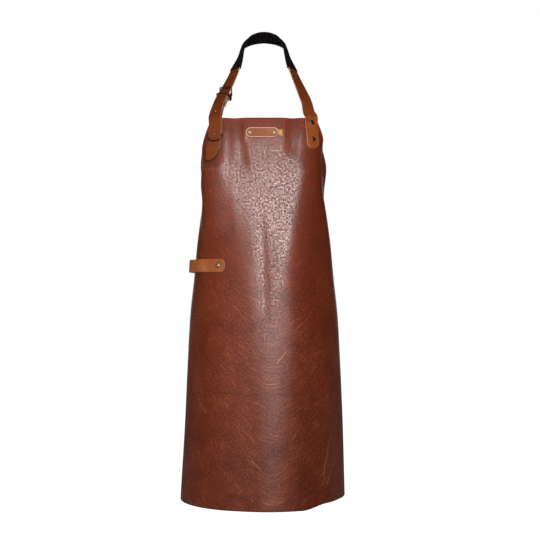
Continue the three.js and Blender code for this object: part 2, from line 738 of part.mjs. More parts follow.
const STACK = GAP + STRAP_THICKNESS; // height of a strap's outer face on the panel
const PATCH_STACK = GAP + PATCH.thickness;
const PATCH_RIVET_REACH = 27;
const patchLeft = PATCH.across - PATCH_RIVET_REACH;
const patchRight = PATCH.across + PATCH_RIVET_REACH;
const loopFrontDown = TOWEL_LOOP_DOWN;
const loopBackDown = TOWEL_LOOP_DOWN + TOWEL_LOOP_DROP;
const RIVETS = [
  { name: "strap_rivet_right_upper", on: "neck_strap", kind: DOME_RIVET, across: 104.4, down: 12 },
  { name: "strap_rivet_right_lower", on: "neck_strap", kind: DOME_RIVET, across: 107.4, down: 49 },
  { name: "strap_rivet_left_upper", on: "buckle_strap", kind: LOW_RIVET, across: -104.2, down: 10 },
  { name: "strap_rivet_left_lower", on: "buckle_strap", kind: LOW_RIVET, across: -107.2, down: 63 },
  { name: "patch_rivet_left", on: "patch", kind: PATCH_RIVET, across: patchLeft, down: PATCH.down },
  { name: "patch_rivet_right", on: "patch", kind: PATCH_RIVET, across: patchRight, down: PATCH.down },
  { name: "towel_loop_rivet_front", on: "towel_loop", kind: DOME_RIVET, across: -102, down: loopFrontDown },
  { name: "towel_loop_rivet_back", on: "towel_loop", kind: DOME_RIVET, across: -274, down: loopBackDown },
];
const postsOf = (piece) => RIVETS.filter((rivet) => rivet.on === piece).map((rivet) => postHole(rivet));

for (const rivet of RIVETS) addPiece(rivet.name, rivetGeometry(rivet), BRASS);

// All pieces
addPiece("apron_panel", cutOut(panelGeometry(), RIVETS.map(postHole)), BODY_LEATHER);

const ROUNDED = { minus: END_ROUNDING, plus: END_ROUNDING };
const STRAP = { width: STRAP_WIDTH, thickness: STRAP_THICKNESS, spacing: 8 };
const neckShape = { ...STRAP, start: ROUNDED, finish: TIP_ROUNDING };
const neckStrap = strapGeometry(neckRoute, neckShape);
const strapHoles = STRAP_HOLES.map((fromTip) => {
  return punch(neckRoute, neckRoute.length - fromTip, STRAP_HOLE_RADIUS);
});
const prongRoom = barGeometry(prongCurve(), PRONG_RADIUS + BUCKLE_CLEAR, 16, 6, false);
const neckStrapCuts = [...postsOf("neck_strap"), ...strapHoles, prongRoom];
addPiece("neck_strap", cutOut(neckStrap, neckStrapCuts), STRAP_LEATHER);

const padFrom = neckRoute.distanceAtHeight(PAD_END_HEIGHT, false);
const padTo = neckRoute.distanceAtHeight(PAD_END_HEIGHT, true);
const underPad = strapSteps(neckRoute, neckShape).filter((step) => step > padFrom && step < padTo);
addPiece("neck_pad", padGeometry(neckRoute, [padFrom, ...underPad, padTo]), PAD_CLOTH);

const buckleStrap = strapGeometry(buckleStrapRoute(), { ...STRAP, spacing: 2.6, start: ROUNDED });
addPiece("buckle_strap", cutOut(buckleStrap, [...postsOf("buckle_strap"), prongRoom]), STRAP_LEATHER);
addPiece("buckle_frame", barGeometry(buckleFrameCurve(), BUCKLE_RADIUS, 52, 6, true), BRASS);
addPiece("buckle_prong", barGeometry(prongCurve(), PRONG_RADIUS, 16, 6, false), BRASS);
addPiece("strap_keeper", keeperGeometry(), STRAP_LEATHER);
addPiece("keeper_ring", barGeometry(keeperRingCurve(), WIRE_RADIUS, 40, 6, true), BRASS);

const PATCH_END = { minus: PATCH.width / 2, plus: PATCH.width / 2 };
const patch = strapGeometry(patchRoute, {
  ...PATCH,
  spacing: 7,
  start: PATCH_END,
  finish: PATCH_END,
});
addPiece("patch", cutOut(patch, postsOf("patch")), STRAP_LEATHER);
addPiece("side_tag", strapGeometry(tagRoute, { ...TAG, spacing: 4 }), TAG_CLOTH);

const towelLoop = strapGeometry(towelRoute, { ...STRAP, start: ROUNDED, finish: ROUNDED });
addPiece("towel_loop", cutOut(towelLoop, postsOf("towel_loop")), STRAP_LEATHER);

export default part;
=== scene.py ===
"""Dresses the leather work apron: worn leather panel, tan straps, padded neck sleeve and antique brass."""

import math

import bpy
import numpy as np
from mathutils import Matrix, Vector


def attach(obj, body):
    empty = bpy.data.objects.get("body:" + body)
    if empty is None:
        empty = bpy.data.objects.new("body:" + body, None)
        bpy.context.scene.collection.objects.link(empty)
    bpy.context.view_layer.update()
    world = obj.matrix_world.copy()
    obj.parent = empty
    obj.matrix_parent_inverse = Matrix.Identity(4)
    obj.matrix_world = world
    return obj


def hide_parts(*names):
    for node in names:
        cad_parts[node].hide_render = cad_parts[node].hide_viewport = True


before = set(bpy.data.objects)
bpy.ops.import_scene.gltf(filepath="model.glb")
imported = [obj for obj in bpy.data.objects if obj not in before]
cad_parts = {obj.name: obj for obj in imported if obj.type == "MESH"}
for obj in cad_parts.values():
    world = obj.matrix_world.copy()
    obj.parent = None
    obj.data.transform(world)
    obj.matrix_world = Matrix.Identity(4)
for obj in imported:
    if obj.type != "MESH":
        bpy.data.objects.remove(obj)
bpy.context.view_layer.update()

# Sizes of the apron in millimetres, as its solids have them where they show it
MM = 0.001
GAP = 0.3
PANEL_THICKNESS = 1.8
BIB_TOP = -201.0
PANEL_LENGTH = 847.0
HEM_RISE = 10.0
SKIRT_LEAN = -3.0
STRAP_WIDTH = 28.0
STRAP_THICKNESS = 2.6
PAD_WIDTH = 32.0
PAD_THICKNESS = 8.0
PAD_WALL = 1.6
WIRE_RADIUS = 1.6
BUCKLE_RADIUS = 1.4
PRONG_RADIUS = 1.2
STRAP_HOLE_RADIUS = 1.6
STRAP_HOLES = (18.0, 58.0, 117.0)
END_ROUNDING = (10.0, 10.0)
TIP_ROUNDING = (30.0, 8.0)
TIP_APEX = 8.0
PATCH_ACROSS, PATCH_DOWN = -3.3, 34.0
PATCH_LENGTH, PATCH_WIDTH, PATCH_THICKNESS = 72.0, 23.0, 2.0
TAG_LENGTH, TAG_WIDTH, TAG_THICKNESS = 8.0, 14.0, 1.2
PAD_END_HEIGHT = -86.0
BUCKLE_HEIGHT = -137.0
KEEPER_LENGTH, KEEPER_THICKNESS, KEEPER_BELOW, KEEPER_CORNER = 5.5, 1.6, 7.0, 1.9
RING_DOWN, RING_BOW = 41.0, 12.5
TOWEL_LOOP_DOWN, TOWEL_LOOP_DROP, TOWEL_LOOP_SLACK = 323.5, 4.0, 11.0

# Small forms that the scene adds: the pad's seams and puckers, with depths as shares, the prong's taper from
# heel to tip, and the length of the hole punch
SEAM_FROM_END, SEAM_HALF_WIDTH, SEAM_DEPTH = 5.0, 1.6, 0.16
PUCKER_RATE, PUCKER_DEPTH = 0.9, 0.03
PRONG_TAPER = (1.6, 0.55)
PUNCH_LENGTH = 6.0

# The skirt leans to the left between two distances below the top edge, and its hem rises on the right
LEAN_FROM, LEAN_TO = 640.0, 880.0
HEM_RISE_FROM, HEM_RISE_TO = 85.0, 150.0
HEM_RISE_STARTS = 0.69

# Where the fine folds leave the leather plain: under the ends of the straps and of the towel loop
STRAP_END_ACROSS, STRAP_END_HALF, STRAP_END_DOWN = 110.0, 19.0, 86.0
LOOP_END_ACROSS, LOOP_END_HALF = -84.0, 16.0

# Sections of the worn panel: below the top edge, front of the middle, distance along the leather to where it
# faces sideways, flatness of the front, turn past there in degrees per 100 mm, and flat half-width
PANEL_SECTIONS = np.array([
    (0, -172, 161.6, 3.6, -60, 115.4),
    (40, -186, 149, 4.4, -90, 137.8),
    (92, -198, 139.5, 4.8, -80, 181),
    (157, -205, 150, 3.4, -20, 210),
    (220, -210, 173.8, 2.3, 10, 248),
    (317, -217, 210, 1.5, 20, 298),
    (445, -228, 245, 1.2, 20, 300),
    (626, -243, 271, 1.05, 15, 300),
    (847, -258, 291, 1.0, 10, 300),
], dtype=float)

# Soft folds of the panel: top, bottom, across at the top, across at the bottom, reach to the left, reach to
# the right, height
FOLDS = (
    (60, 400, 92, 40, 24, 24, 4),
    (70, 410, -86, -40, 26, 26, 3),
    (330, 1100, 40, 22, 50, 50, 4),
    (420, 1100, 90, 132, 48, 48, -6),
)

# Finer folds of the worn leather, which add to those or flatten them, with the same values
FINE_FOLDS = (
    (-40, 135, -70, -46, 48, 26, -3.4),
    (-60, 100, 66, 68, 28, 40, -3.2),
    (60, 400, 92, 40, 24, 24, -3.6),
    (70, 410, -84, -38, 28, 24, -2.2),
    (40, 300, -134, -122, 36, 56, 7.8),
    (-20, 455, 118, 76, 66, 58, 3.2),
    (150, 500, -12, 4, 60, 18, 1.2),
    (190, 410, -65, -50, 22, 45, -0.6),
    (175, 515, 29, 21, 28, 40, -0.7),
    (330, 1100, 80, 78, 55, 90, 6),
    (340, 1200, -48, -45, 65, 43, -2.8),
    (335, 1100, 104, 135, 67, 90, 9),
    (0, 190, -158, -158, 45, 45, 6.5),
)

# Route of the neck strap on the right: x, y, z, turn of its face on the right and on the left, and its lift
NECK_ROUTE = (
    (99.6, -158, -189.5, 20, 22, 0),
    (93.9, -141, -163.3, 31, 34, 0),
    (83, -128, -135, 40, 36, 0),
    (71.5, -113, -106.4, 46, 40, 0),
    (60.9, -95, -77.1, 50, 46, 0),
    (52.5, -70, -47.7, 66, 66, 6),
    (49.2, -50, -31.5, 88, 88, 22),
    (42.4, -28, -17.1, 112, 112, 46),
    (31.5, -11, -6.1, 138, 138, 50),
    (16, 0, 0.8, 162, 162, 50),
)


# Smooth curves and places

def unit(vectors):
    return vectors / np.linalg.norm(vectors, axis=-1, keepdims=True)


def smooth_step(at, low, high):
    share = np.clip((np.asarray(at, float) - low) / (high - low), 0, 1)
    return share * share * (3 - 2 * share)


def section_at(down):
    """The panel's section values below the top edge, on a smooth curve through the table's rows."""
    down = np.asarray(down, float)
    keys = PANEL_SECTIONS[:, 0]
    last = len(keys) - 1
    low = np.searchsorted(keys[1:last], down, side="left")
    before, after = PANEL_SECTIONS[low], PANEL_SECTIONS[low + 1]
    span = (after - before)[..., :1]
    share = ((down - keys[low]) / span[..., 0])[..., None]

    def slope(index):
        first = PANEL_SECTIONS[np.maximum(index - 1, 0)]
        second = PANEL_SECTIONS[np.minimum(index + 1, last)]
        return (second - first) / (second - first)[..., :1]

    rise = after - before
    bow = (1 - share) * (slope(low) * span - rise) - share * (slope(low + 1) * span - rise)
    return before + share * rise + share * (1 - share) * bow


def worn_form(across, down):
    """The smooth worn form at distances right of the middle, along the leather, and below the top edge."""
    across, down = np.broadcast_arrays(np.asarray(across, float), np.asarray(down, float))
    section = section_at(down)
    front, reach, flatness, after_turn = (section[..., i] for i in (1, 2, 3, 4))
    steps = 60
    step = np.abs(across) / steps
    x = np.zeros_like(step)
    y = front.copy()
    for i in range(steps):
        distance = (i + 0.5) * step
        past = distance - reach
        bend = np.where(past > 0, 90 + after_turn * past / 100, 90 * (distance / reach) ** flatness)
        x += np.cos(np.radians(bend)) * step
        y += np.sin(np.radians(bend)) * step
    lean = SKIRT_LEAN * smooth_step(down, LEAN_FROM, LEAN_TO)
    return np.stack([np.sign(across) * x + lean, y, BIB_TOP - down], axis=-1)


def fold_height(across, down, folds):
    """Height of all folds of a table together."""
    height = np.zeros(np.broadcast(across, down).shape)
    for top, bottom, across_top, across_bottom, reach_left, reach_right, fold in folds:
        along = (down - top) / (bottom - top)
        middle = across_top + (across_bottom - across_top) * along
        side = (across - middle) / np.where(across < middle, reach_left, reach_right)
        ends = smooth_step(along, 0, 0.3) * (1 - smooth_step(along, 0.75, 1))
        bump = np.clip(1 - side * side, 0, 1) ** 2
        height += np.where((along > 0) & (along < 1), fold * ends * bump, 0)
    return height


def fine_folds(across, down):
    """Height of the finer folds, which leave the leather plain under the patch, straps and towel loop."""
    def outside(sideways, downwards):
        return np.hypot(np.maximum(sideways, 0), np.maximum(downwards, 0))

    beyond = np.where(across > PATCH_ACROSS, across - PATCH_ACROSS - TAG_LENGTH, PATCH_ACROSS - across)
    from_patch = outside(beyond - PATCH_LENGTH / 2, np.abs(down - PATCH_DOWN) - PATCH_WIDTH / 2)
    from_straps = outside(np.abs(np.abs(across) - STRAP_END_ACROSS) - STRAP_END_HALF, down - STRAP_END_DOWN)
    from_loop = outside(across - LOOP_END_ACROSS, np.abs(down - TOWEL_LOOP_DOWN) - LOOP_END_HALF)
    clear = smooth_step(from_patch, 1, 12) * smooth_step(from_straps, 2, 30) * smooth_step(from_loop, 2, 16)
    return fold_height(across, down, FINE_FOLDS) * clear


def panel_out(across, down):
    """The way the grain side looks."""
    reach = 2.0
    sideways = worn_form(across + reach, down) - worn_form(across - reach, down)
    downwards = worn_form(across, down + reach) - worn_form(across, down - reach)
    return unit(np.cross(downwards, sideways))


def on_panel(across, down, height=0.0):
    """Points of the panel's grain side, or at a height above it."""
    across, down = np.broadcast_arrays(np.asarray(across, float), np.asarray(down, float))
    raised = height + fold_height(across, down, FOLDS)
    return worn_form(across, down) + panel_out(across, down) * raised[..., None]


def smooth_curve(points, share, centripetal, closed=False):
    """Places on a smooth curve through points, at shares from 0 to 1 of its stations."""
    points = np.asarray(points, float)
    count = len(points)
    if closed:
        padded = np.concatenate([points[-1:], points, points[:2]])
        spans = count
    else:
        first = 2 * points[0] - points[1]
        last = 2 * points[-1] - points[-2]
        padded = np.concatenate([first[None], points, last[None]])
        spans = count - 1
    at = np.clip(np.asarray(share, float), 0, 1) * spans
    low = np.minimum(at.astype(int), spans - 1)
    part = (at - low)[:, None]
    before, start, end, after = (padded[low + i] for i in range(4))
    if centripetal:
        gap_in, gap, gap_out = (np.sqrt(np.linalg.norm(there - here, axis=1, keepdims=True))
                                for here, there in ((before, start), (start, end), (end, after)))
        step = (end - start) / gap
        leaving = ((start - before) / gap_in - (end - before) / (gap_in + gap) + step) * gap
        arriving = (step - (after - start) / (gap + gap_out) + (after - end) / gap_out) * gap
    else:
        leaving, arriving = (end - before) / 2, (after - start) / 2
    squared = -3 * start + 3 * end - 2 * leaving - arriving
    cubed = 2 * start - 2 * end + leaving + arriving
    return start + leaving * part + squared * part ** 2 + cubed * part ** 3


def lengths_along(line):
    return np.concatenate([[0], np.cumsum(np.linalg.norm(np.diff(line, axis=0), axis=1))])


class StrapRoute:
    """A flat strap's route: its middle line, and the way its outer face looks, through the same stations."""

    SAMPLES = 2401
    LOOK_AHEAD = 1e-4

    def __init__(self, stations):
        self.points = np.array([point for point, out in stations])
        self.outs = np.array([out for point, out in stations])
        self.shares = np.linspace(0, 1, self.SAMPLES)
        self.line = smooth_curve(self.points, self.shares, True)
        self.distances = lengths_along(self.line)
        self.length = self.distances[-1]

    def at(self, distance):
        distance = np.clip(np.atleast_1d(np.asarray(distance, float)), 0, self.length)
        share = np.interp(distance, self.distances, self.shares)
        point = smooth_curve(self.points, share, True)
        ahead = smooth_curve(self.points, share + self.LOOK_AHEAD, True)
        behind = smooth_curve(self.points, share - self.LOOK_AHEAD, True)
        along = unit(ahead - behind)
        out = smooth_curve(self.outs, share, False)
        out = unit(out - along * np.sum(out * along, axis=1, keepdims=True))
        return point, along, out, unit(np.cross(along, out))

    def frame_at(self, distance):
        """One point, the way along, the way its outer face looks and the way sideways."""
        return (value[0] for value in self.at(distance))

    def beside(self, distance, sideways, height):
        point, along, out, side = self.at(distance)
        return point + side * np.reshape(sideways, (-1, 1)) + out * np.reshape(height, (-1, 1))

    def one(self, distance, sideways, height):
        return self.beside(distance, [sideways], [height])[0]

    def distance_at_height(self, z, from_end):
        """Where the route first reaches a height, from its start or from its end."""
        heights = self.line[:, 2] - z
        order = np.arange(len(heights))[::-1] if from_end else np.arange(len(heights))
        passed = heights[order] * heights[order[0]] <= 0
        return self.distances[order[np.argmax(passed)]]


def panel_station(across, down, height):
    return on_panel([across], [down], height)[0], panel_out(np.array([across]), np.array([down]))[0]


def neck_station(row, mirror):
    x, y, z, right_turn, left_turn, lift = row
    turn = math.radians(right_turn if mirror > 0 else left_turn)
    lift = math.radians(lift)
    level = math.cos(lift)
    out = np.array([mirror * math.sin(turn) * level, -math.cos(turn) * level, math.sin(lift)])
    return np.array([mirror * x, y, z]), out


# Routes of the straps

ON_PANEL = GAP + STRAP_THICKNESS / 2
EDGE_LIFT = 1.2
RING_ROOM = 2 * WIRE_RADIUS + 3 * GAP
FREE_END_HEIGHT = RING_ROOM + 1.5 * STRAP_THICKNESS + 3 * GAP
NAPE_TILT = math.radians(50)
LEFT_SPREAD_X, LEFT_SPREAD_Y = 6.0, -7.0


def neck_route():
    right_bib = [panel_station(*row) for row in (
        (108.5, 68, ON_PANEL),
        (107.4, 49, ON_PANEL),
        (106, 28, ON_PANEL),
        (104.9, 12, ON_PANEL),
        (104.7, 6, ON_PANEL),
        (104.5, 0, ON_PANEL + EDGE_LIFT),
    )]
    left_bib = [panel_station(across, down, FREE_END_HEIGHT) for across, down in (
        (-105, 2),
        (-103.6, 22),
        (-104.6, 45),
        (-107.6, 68),
        (-112.8, 96),
    )]
    nape_out = np.array([0, math.cos(NAPE_TILT), math.sin(NAPE_TILT)])
    right = [neck_station(row, 1) for row in NECK_ROUTE]
    left = []
    for x, y, z, right_turn, left_turn, lift in reversed(NECK_ROUTE):
        spread = smooth_step(-z, 110, 190)
        row = (x + LEFT_SPREAD_X * spread, y + LEFT_SPREAD_Y * spread, z, right_turn, left_turn, lift)
        left.append(neck_station(row, -1))
    return StrapRoute([*right_bib, *right, (nape_out * PAD_THICKNESS / 2, nape_out), *left, *left_bib])


NECK = neck_route()
BUCKLE_AT = NECK.distance_at_height(BUCKLE_HEIGHT, True)
BUCKLE_POINT, BUCKLE_ALONG, BUCKLE_OUT, BUCKLE_SIDE = NECK.frame_at(BUCKLE_AT)
BUCKLE_CLEAR = 0.8
FRAME_HALF_WIDTH = STRAP_WIDTH / 2 + BUCKLE_CLEAR + BUCKLE_RADIUS
FRAME_HALF_LENGTH = 6.0
FRAME_CORNER = 2.0
FRONT_BAR_HEIGHT = STRAP_THICKNESS / 2 + BUCKLE_CLEAR + BUCKLE_RADIUS
FOLD_RADIUS = BUCKLE_RADIUS + 1.5 + STRAP_THICKNESS / 2
LAYER = STRAP_THICKNESS + 4 * GAP
HEEL_BAR_HEIGHT = -LAYER - FOLD_RADIUS
HEEL_AT = BUCKLE_AT + FRAME_HALF_LENGTH
FREE_RUN = NECK.distance_at_height(BIB_TOP, True) - HEEL_AT
RETURN_LENGTH = 36.0


def at_buckle(up, side, height):
    return BUCKLE_POINT - BUCKLE_ALONG * up + BUCKLE_SIDE * side + BUCKLE_OUT * height


def front_layer(below):
    """Height of the buckle strap's front layer beside the neck strap, at a distance below the heel bar."""
    return -LAYER + (ON_PANEL - FREE_END_HEIGHT + LAYER) * below / FREE_RUN


def back_layer(below):
    """Height of the layer that is folded back behind it."""
    closing = smooth_step(below, 3, 15)
    return front_layer(below) - (2 * FOLD_RADIUS + (LAYER - 2 * FOLD_RADIUS) * closing)


def by_neck_strap(below, height, facing):
    point, along, out, side = NECK.frame_at(HEEL_AT + below)
    return point + out * height, out * facing


def buckle_strap_route():
    stations = [panel_station(across, down, ON_PANEL + lift) for across, down, lift in (
        (-108.7, 74, 0),
        (-107.2, 63, 0),
        (-106.1, 56, RING_ROOM / 8),
        (-105.1, 48, RING_ROOM * 0.7),
        (-104.3, 40, RING_ROOM),
        (-103.9, 32, RING_ROOM),
        (-103.7, 19, RING_ROOM / 4),
        (-104.2, 10, 0),
        (-104.6, 4, 0),
        (-105, -1, EDGE_LIFT),
    )]
    for share in (0.85, 0.65, 0.45, 0.25, 0.1):
        below = share * FREE_RUN
        stations.append(by_neck_strap(below, front_layer(below), 1))
    for angle in (85, 45, 5, -35, -75):
        outwards, upwards = math.sin(math.radians(angle)), math.cos(math.radians(angle))
        up = -FRAME_HALF_LENGTH + FOLD_RADIUS * upwards
        out = BUCKLE_OUT * outwards - BUCKLE_ALONG * upwards
        stations.append((at_buckle(up, 0, HEEL_BAR_HEIGHT + FOLD_RADIUS * outwards), out))
    for share in (0.15, 0.3, 0.45, 0.7, 1):
        below = share * RETURN_LENGTH
        stations.append(by_neck_strap(below, back_layer(below), -1))
    return StrapRoute(stations)


def sideways_route(start, finish, count, down, height):
    across = np.linspace(start, finish, count + 1)
    return StrapRoute([panel_station(a, down(a), height(a)) for a in across])


def patch_route():
    half = PATCH_LENGTH / 2
    return sideways_route(PATCH_ACROSS - half, PATCH_ACROSS + half, 8,
                          lambda a: PATCH_DOWN, lambda a: GAP + PATCH_THICKNESS / 2)


def tag_route():
    start = PATCH_ACROSS + PATCH_LENGTH / 2 + GAP
    return sideways_route(start, start + TAG_LENGTH, 2,
                          lambda a: PATCH_DOWN, lambda a: GAP + TAG_THICKNESS / 2)


TOWEL_FRONT, TOWEL_LEAVES, TOWEL_MEETS, TOWEL_BACK = -85.5, -122.0, -262.0, -287.0


def towel_route():
    def down(a):
        return TOWEL_LOOP_DOWN + TOWEL_LOOP_DROP * float(smooth_step(-a, -TOWEL_LEAVES, -TOWEL_BACK))

    def height(a):
        share = (a - (TOWEL_LEAVES + TOWEL_MEETS) / 2) / ((TOWEL_LEAVES - TOWEL_MEETS) / 2)
        return ON_PANEL + (TOWEL_LOOP_SLACK * (1 - share * share) ** 2 if abs(share) < 1 else 0)

    return sideways_route(TOWEL_FRONT, TOWEL_BACK, 18, down, height)


# Modelling by hand: one object at a time

def only(obj):
    bpy.ops.object.select_all(action="DESELECT")
    obj.select_set(True)
    bpy.context.view_layer.objects.active = obj


def named(name):
    obj = bpy.context.active_object
    obj.name = name
    obj.data.name = name
    return obj


def primitive(name, add, **settings):
    """A start form, alone in the selection."""
    bpy.ops.object.select_all(action="DESELECT")
    add(**settings)
    return named(name)


def faces_outwards(obj, merge=False):
    """Turns the faces of a skin outwards, after closing its seam if asked."""
    only(obj)
    bpy.ops.object.mode_set(mode="EDIT")
    bpy.ops.mesh.select_all(action="SELECT")
    if merge:
        bpy.ops.mesh.remove_doubles(threshold=1e-6)
    bpy.ops.mesh.normals_make_consistent(inside=False)
    bpy.ops.object.mode_set(mode="OBJECT")


def apply_modifiers(obj):
    only(obj)
    for modifier in list(obj.modifiers):
        bpy.ops.object.modifier_apply(modifier=modifier.name)


def move_points(obj, places):
    obj.data.vertices.foreach_set("co", (np.asarray(places) * MM).astype(np.float32).ravel())
    obj.data.update()


def grid(name, columns, rows):
    """A flat grid of columns by rows, with the column and row number of each of its points."""
    obj = primitive(name, bpy.ops.mesh.primitive_grid_add, x_subdivisions=columns, y_subdivisions=rows,
                    size=2)
    flat = np.empty(3 * len(obj.data.vertices), np.float32)
    obj.data.vertices.foreach_get("co", flat)
    flat = flat.reshape(-1, 3)
    column = np.rint((flat[:, 0] + 1) / 2 * columns).astype(int)
    row = np.rint((flat[:, 1] + 1) / 2 * rows).astype(int)
    return obj, column, row


def lay_pattern(obj, first, second):
    """The piece's own pattern map: where each point lay on the flat leather, in metres."""
    layer = obj.data.uv_layers[0]
    layer.name = "lay"
    corner = np.empty(len(obj.data.loops), np.int32)
    obj.data.loops.foreach_get("vertex_index", corner)
    lay = np.stack([first, second], axis=1)[corner] * MM
    layer.data.foreach_set("uv", lay.astype(np.float32).ravel())


def give_thickness(obj, leather, thickness, edge_radius):
    """Leather from a skin: its thickness behind the skin, a cut rim, and softened rim edges.

    leather: the materials of its grain side, its inside and its cut edge.
    """
    for face in leather:
        obj.data.materials.append(face)
    wall = obj.modifiers.new("wall", "SOLIDIFY")
    wall.thickness = thickness * MM
    wall.offset = -1
    wall.use_even_offset = True
    wall.material_offset = 1
    wall.material_offset_rim = 2
    rim = obj.modifiers.new("rim", "BEVEL")
    rim.width = edge_radius * MM
    rim.segments = 2
    rim.material = 2
    rim.limit_method = "ANGLE"
    rim.angle_limit = math.radians(50)
    rim.use_clamp_overlap = True
    apply_modifiers(obj)


def smooth(obj, angle):
    only(obj)
    bpy.ops.object.shade_smooth_by_angle(angle=math.radians(angle))


def dress(obj, node, material=None):
    """Gives a finished piece its place in the model, hides the solid that it stands for and, if still bare,
    gives it its material.
    """
    if material:
        obj.data.materials.append(material)
    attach(obj, "root")
    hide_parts(node)
    return obj


def end_rounding(from_tip, length):
    share = np.clip(1 - from_tip / length, 0, 1)
    return np.sqrt(1 - share * share)


def strap_steps(length, spacing, start, finish):
    """Distances along a strap: even ones, and closer ones in its rounded ends."""
    closer = 1 - np.cos(np.radians([5, 12, 20, 28, 36, 44, 52, 60, 68, 76, 83]))
    first, last = max(start or (0,)), max(finish or (0,))
    count = max(2, round((length - first - last) / spacing))
    steps = list(first * closer) if start else []
    steps += list(np.linspace(first, length - last, count + 1))
    if finish:
        steps += list(length - last * closer[::-1])
    return np.array(steps)


def strap_skin(name, route, width, thickness, spacing, start=None, finish=None, apex=0.0, columns=10):
    """A strap's outer face along a route. start and finish give the rounding of its ends on the two sides.

    apex: how far to the side its finish ends.
    """
    steps = strap_steps(route.length, spacing, start, finish)
    obj, column, row = grid(name, columns, len(steps) - 1)
    distance = steps[row]
    share = 2 * column / columns - 1

    def edge(side, sideways):
        opened = end_rounding(distance, start[side]) if start else 1
        closed = end_rounding(route.length - distance, finish[side]) if finish else 1
        return (apex + (sideways - apex) * closed) * opened

    low, high = edge(0, -width / 2), edge(1, width / 2)
    sideways = low + (high - low) * (share + 1) / 2
    move_points(obj, route.beside(distance, sideways, np.full(len(distance), thickness / 2)))
    lay_pattern(obj, distance, sideways)
    return obj


def punch_holes(obj, leather, places):
    """Round holes through a strap, with pale cut walls. places: point, direction and radius."""
    for point, out, radius in places:
        turn = Vector((0, 0, 1)).rotation_difference(Vector(out)).to_euler()
        punch = primitive("punch", bpy.ops.mesh.primitive_cylinder_add, vertices=20, radius=radius * MM,
                          depth=PUNCH_LENGTH * MM, location=Vector(point) * MM, rotation=turn)
        for face in leather:
            punch.data.materials.append(face)
        for side in punch.data.polygons:
            side.material_index = 2
        cut = obj.modifiers.new("cut", "BOOLEAN")
        cut.operation = "DIFFERENCE"
        cut.solver = "EXACT"
        cut.object = punch
        apply_modifiers(obj)
        only(punch)
        bpy.ops.object.delete()


# Pieces

def apron_panel(leather):
    columns, rows = 150, 190
    obj, column, row = grid("apron_leather", columns, rows)
    share = row / rows
    plain = PANEL_LENGTH * (1 - share)
    half_width = section_at(plain)[..., 5]
    across = half_width * (2 * column / columns - 1)
    to_right = smooth_step(across, HEM_RISE_FROM, HEM_RISE_TO)
    down = plain - HEM_RISE * to_right * smooth_step(1 - share, HEM_RISE_STARTS, 1)
    move_points(obj, on_panel(across, down, fine_folds(across, down)))
    lay_pattern(obj, across, -down)
    give_thickness(obj, leather, PANEL_THICKNESS, edge_radius=0.45)
    smooth(obj, 50)
    widths = 2 * section_at(np.linspace(0, PANEL_LENGTH, 400))[:, 5]
    return obj


def leather_strap(name, leather, route, edge_radius, spacing, start=None, finish=None, apex=0.0, holes=(),
                  width=STRAP_WIDTH, thickness=STRAP_THICKNESS, columns=10):
    """A strap along a route, with its thickness, softened rim and holes."""
    obj = strap_skin(name, route, width, thickness, spacing, start, finish, apex, columns)
    give_thickness(obj, leather, thickness, edge_radius)
    punch_holes(obj, leather, holes)
    smooth(obj, 40)
    return obj


def neck_strap(leather):
    holes = []
    for from_tip in STRAP_HOLES:
        point, along, out, side = NECK.frame_at(NECK.length - from_tip)
        holes.append((point, out, STRAP_HOLE_RADIUS))
    return leather_strap("neck_strap_leather", leather, NECK, edge_radius=0.9, spacing=3.0,
                         start=END_ROUNDING, finish=TIP_ROUNDING, apex=TIP_APEX, holes=holes)


def buckle_strap(leather):
    return leather_strap("buckle_strap_leather", leather, buckle_strap_route(), edge_radius=0.6, spacing=1.5,
                         start=END_ROUNDING)


def towel_loop(leather):
    return leather_strap("towel_loop_leather", leather, towel_route(), edge_radius=0.9, spacing=3.0,
                         start=END_ROUNDING, finish=END_ROUNDING)


def patch(leather):
    end = (PATCH_WIDTH / 2, PATCH_WIDTH / 2)
    return leather_strap("patch_leather", leather, patch_route(), edge_radius=0.7, spacing=2.0,
                         start=end, finish=end, width=PATCH_WIDTH, thickness=PATCH_THICKNESS, columns=14)


def side_tag(cloth):
    return leather_strap("side_tag_cloth", cloth, tag_route(), edge_radius=0.4, spacing=0.8,
                         width=TAG_WIDTH, thickness=TAG_THICKNESS, columns=14)


def tube_skin(name, rings):
    """A round skin through rings of equally many points, its seam closed and its faces outwards."""
    count, sides = rings.shape[:2]
    obj, column, row = grid(name, sides, count - 1)
    move_points(obj, rings[row, column % sides])
    faces_outwards(obj, merge=True)
    return obj


def neck_pad():
    """A flat sleeve with rounded sides, a waist at the seam near each end, and puckers along its sides."""
    start = NECK.distance_at_height(PAD_END_HEIGHT, False)
    finish = NECK.distance_at_height(PAD_END_HEIGHT, True)
    sides = 40
    angle = 2 * np.pi * np.arange(sides) / sides
    squareness = 0.45
    wide = np.sign(np.cos(angle)) * np.abs(np.cos(angle)) ** squareness * PAD_WIDTH / 2
    thick = np.sign(np.sin(angle)) * np.abs(np.sin(angle)) ** squareness * PAD_THICKNESS / 2
    rings = []
    for distance in np.linspace(start, finish, 121):
        from_end = min(distance - start, finish - distance)
        sewn = 1 - SEAM_DEPTH * math.exp(-((from_end - SEAM_FROM_END) / SEAM_HALF_WIDTH) ** 2)
        waves = np.sin(distance * PUCKER_RATE + 3 * np.cos(angle))
        pucker = 1 + PUCKER_DEPTH * waves * np.abs(np.cos(angle)) ** 6
        rings.append(NECK.beside(np.full(sides, distance), wide * pucker, thick * sewn))
    obj = tube_skin("neck_pad_cloth", np.array(rings))
    wall = obj.modifiers.new("wall", "SOLIDIFY")
    wall.thickness = PAD_WALL * MM
    wall.offset = -1
    apply_modifiers(obj)
    smooth(obj, 50)
    return obj


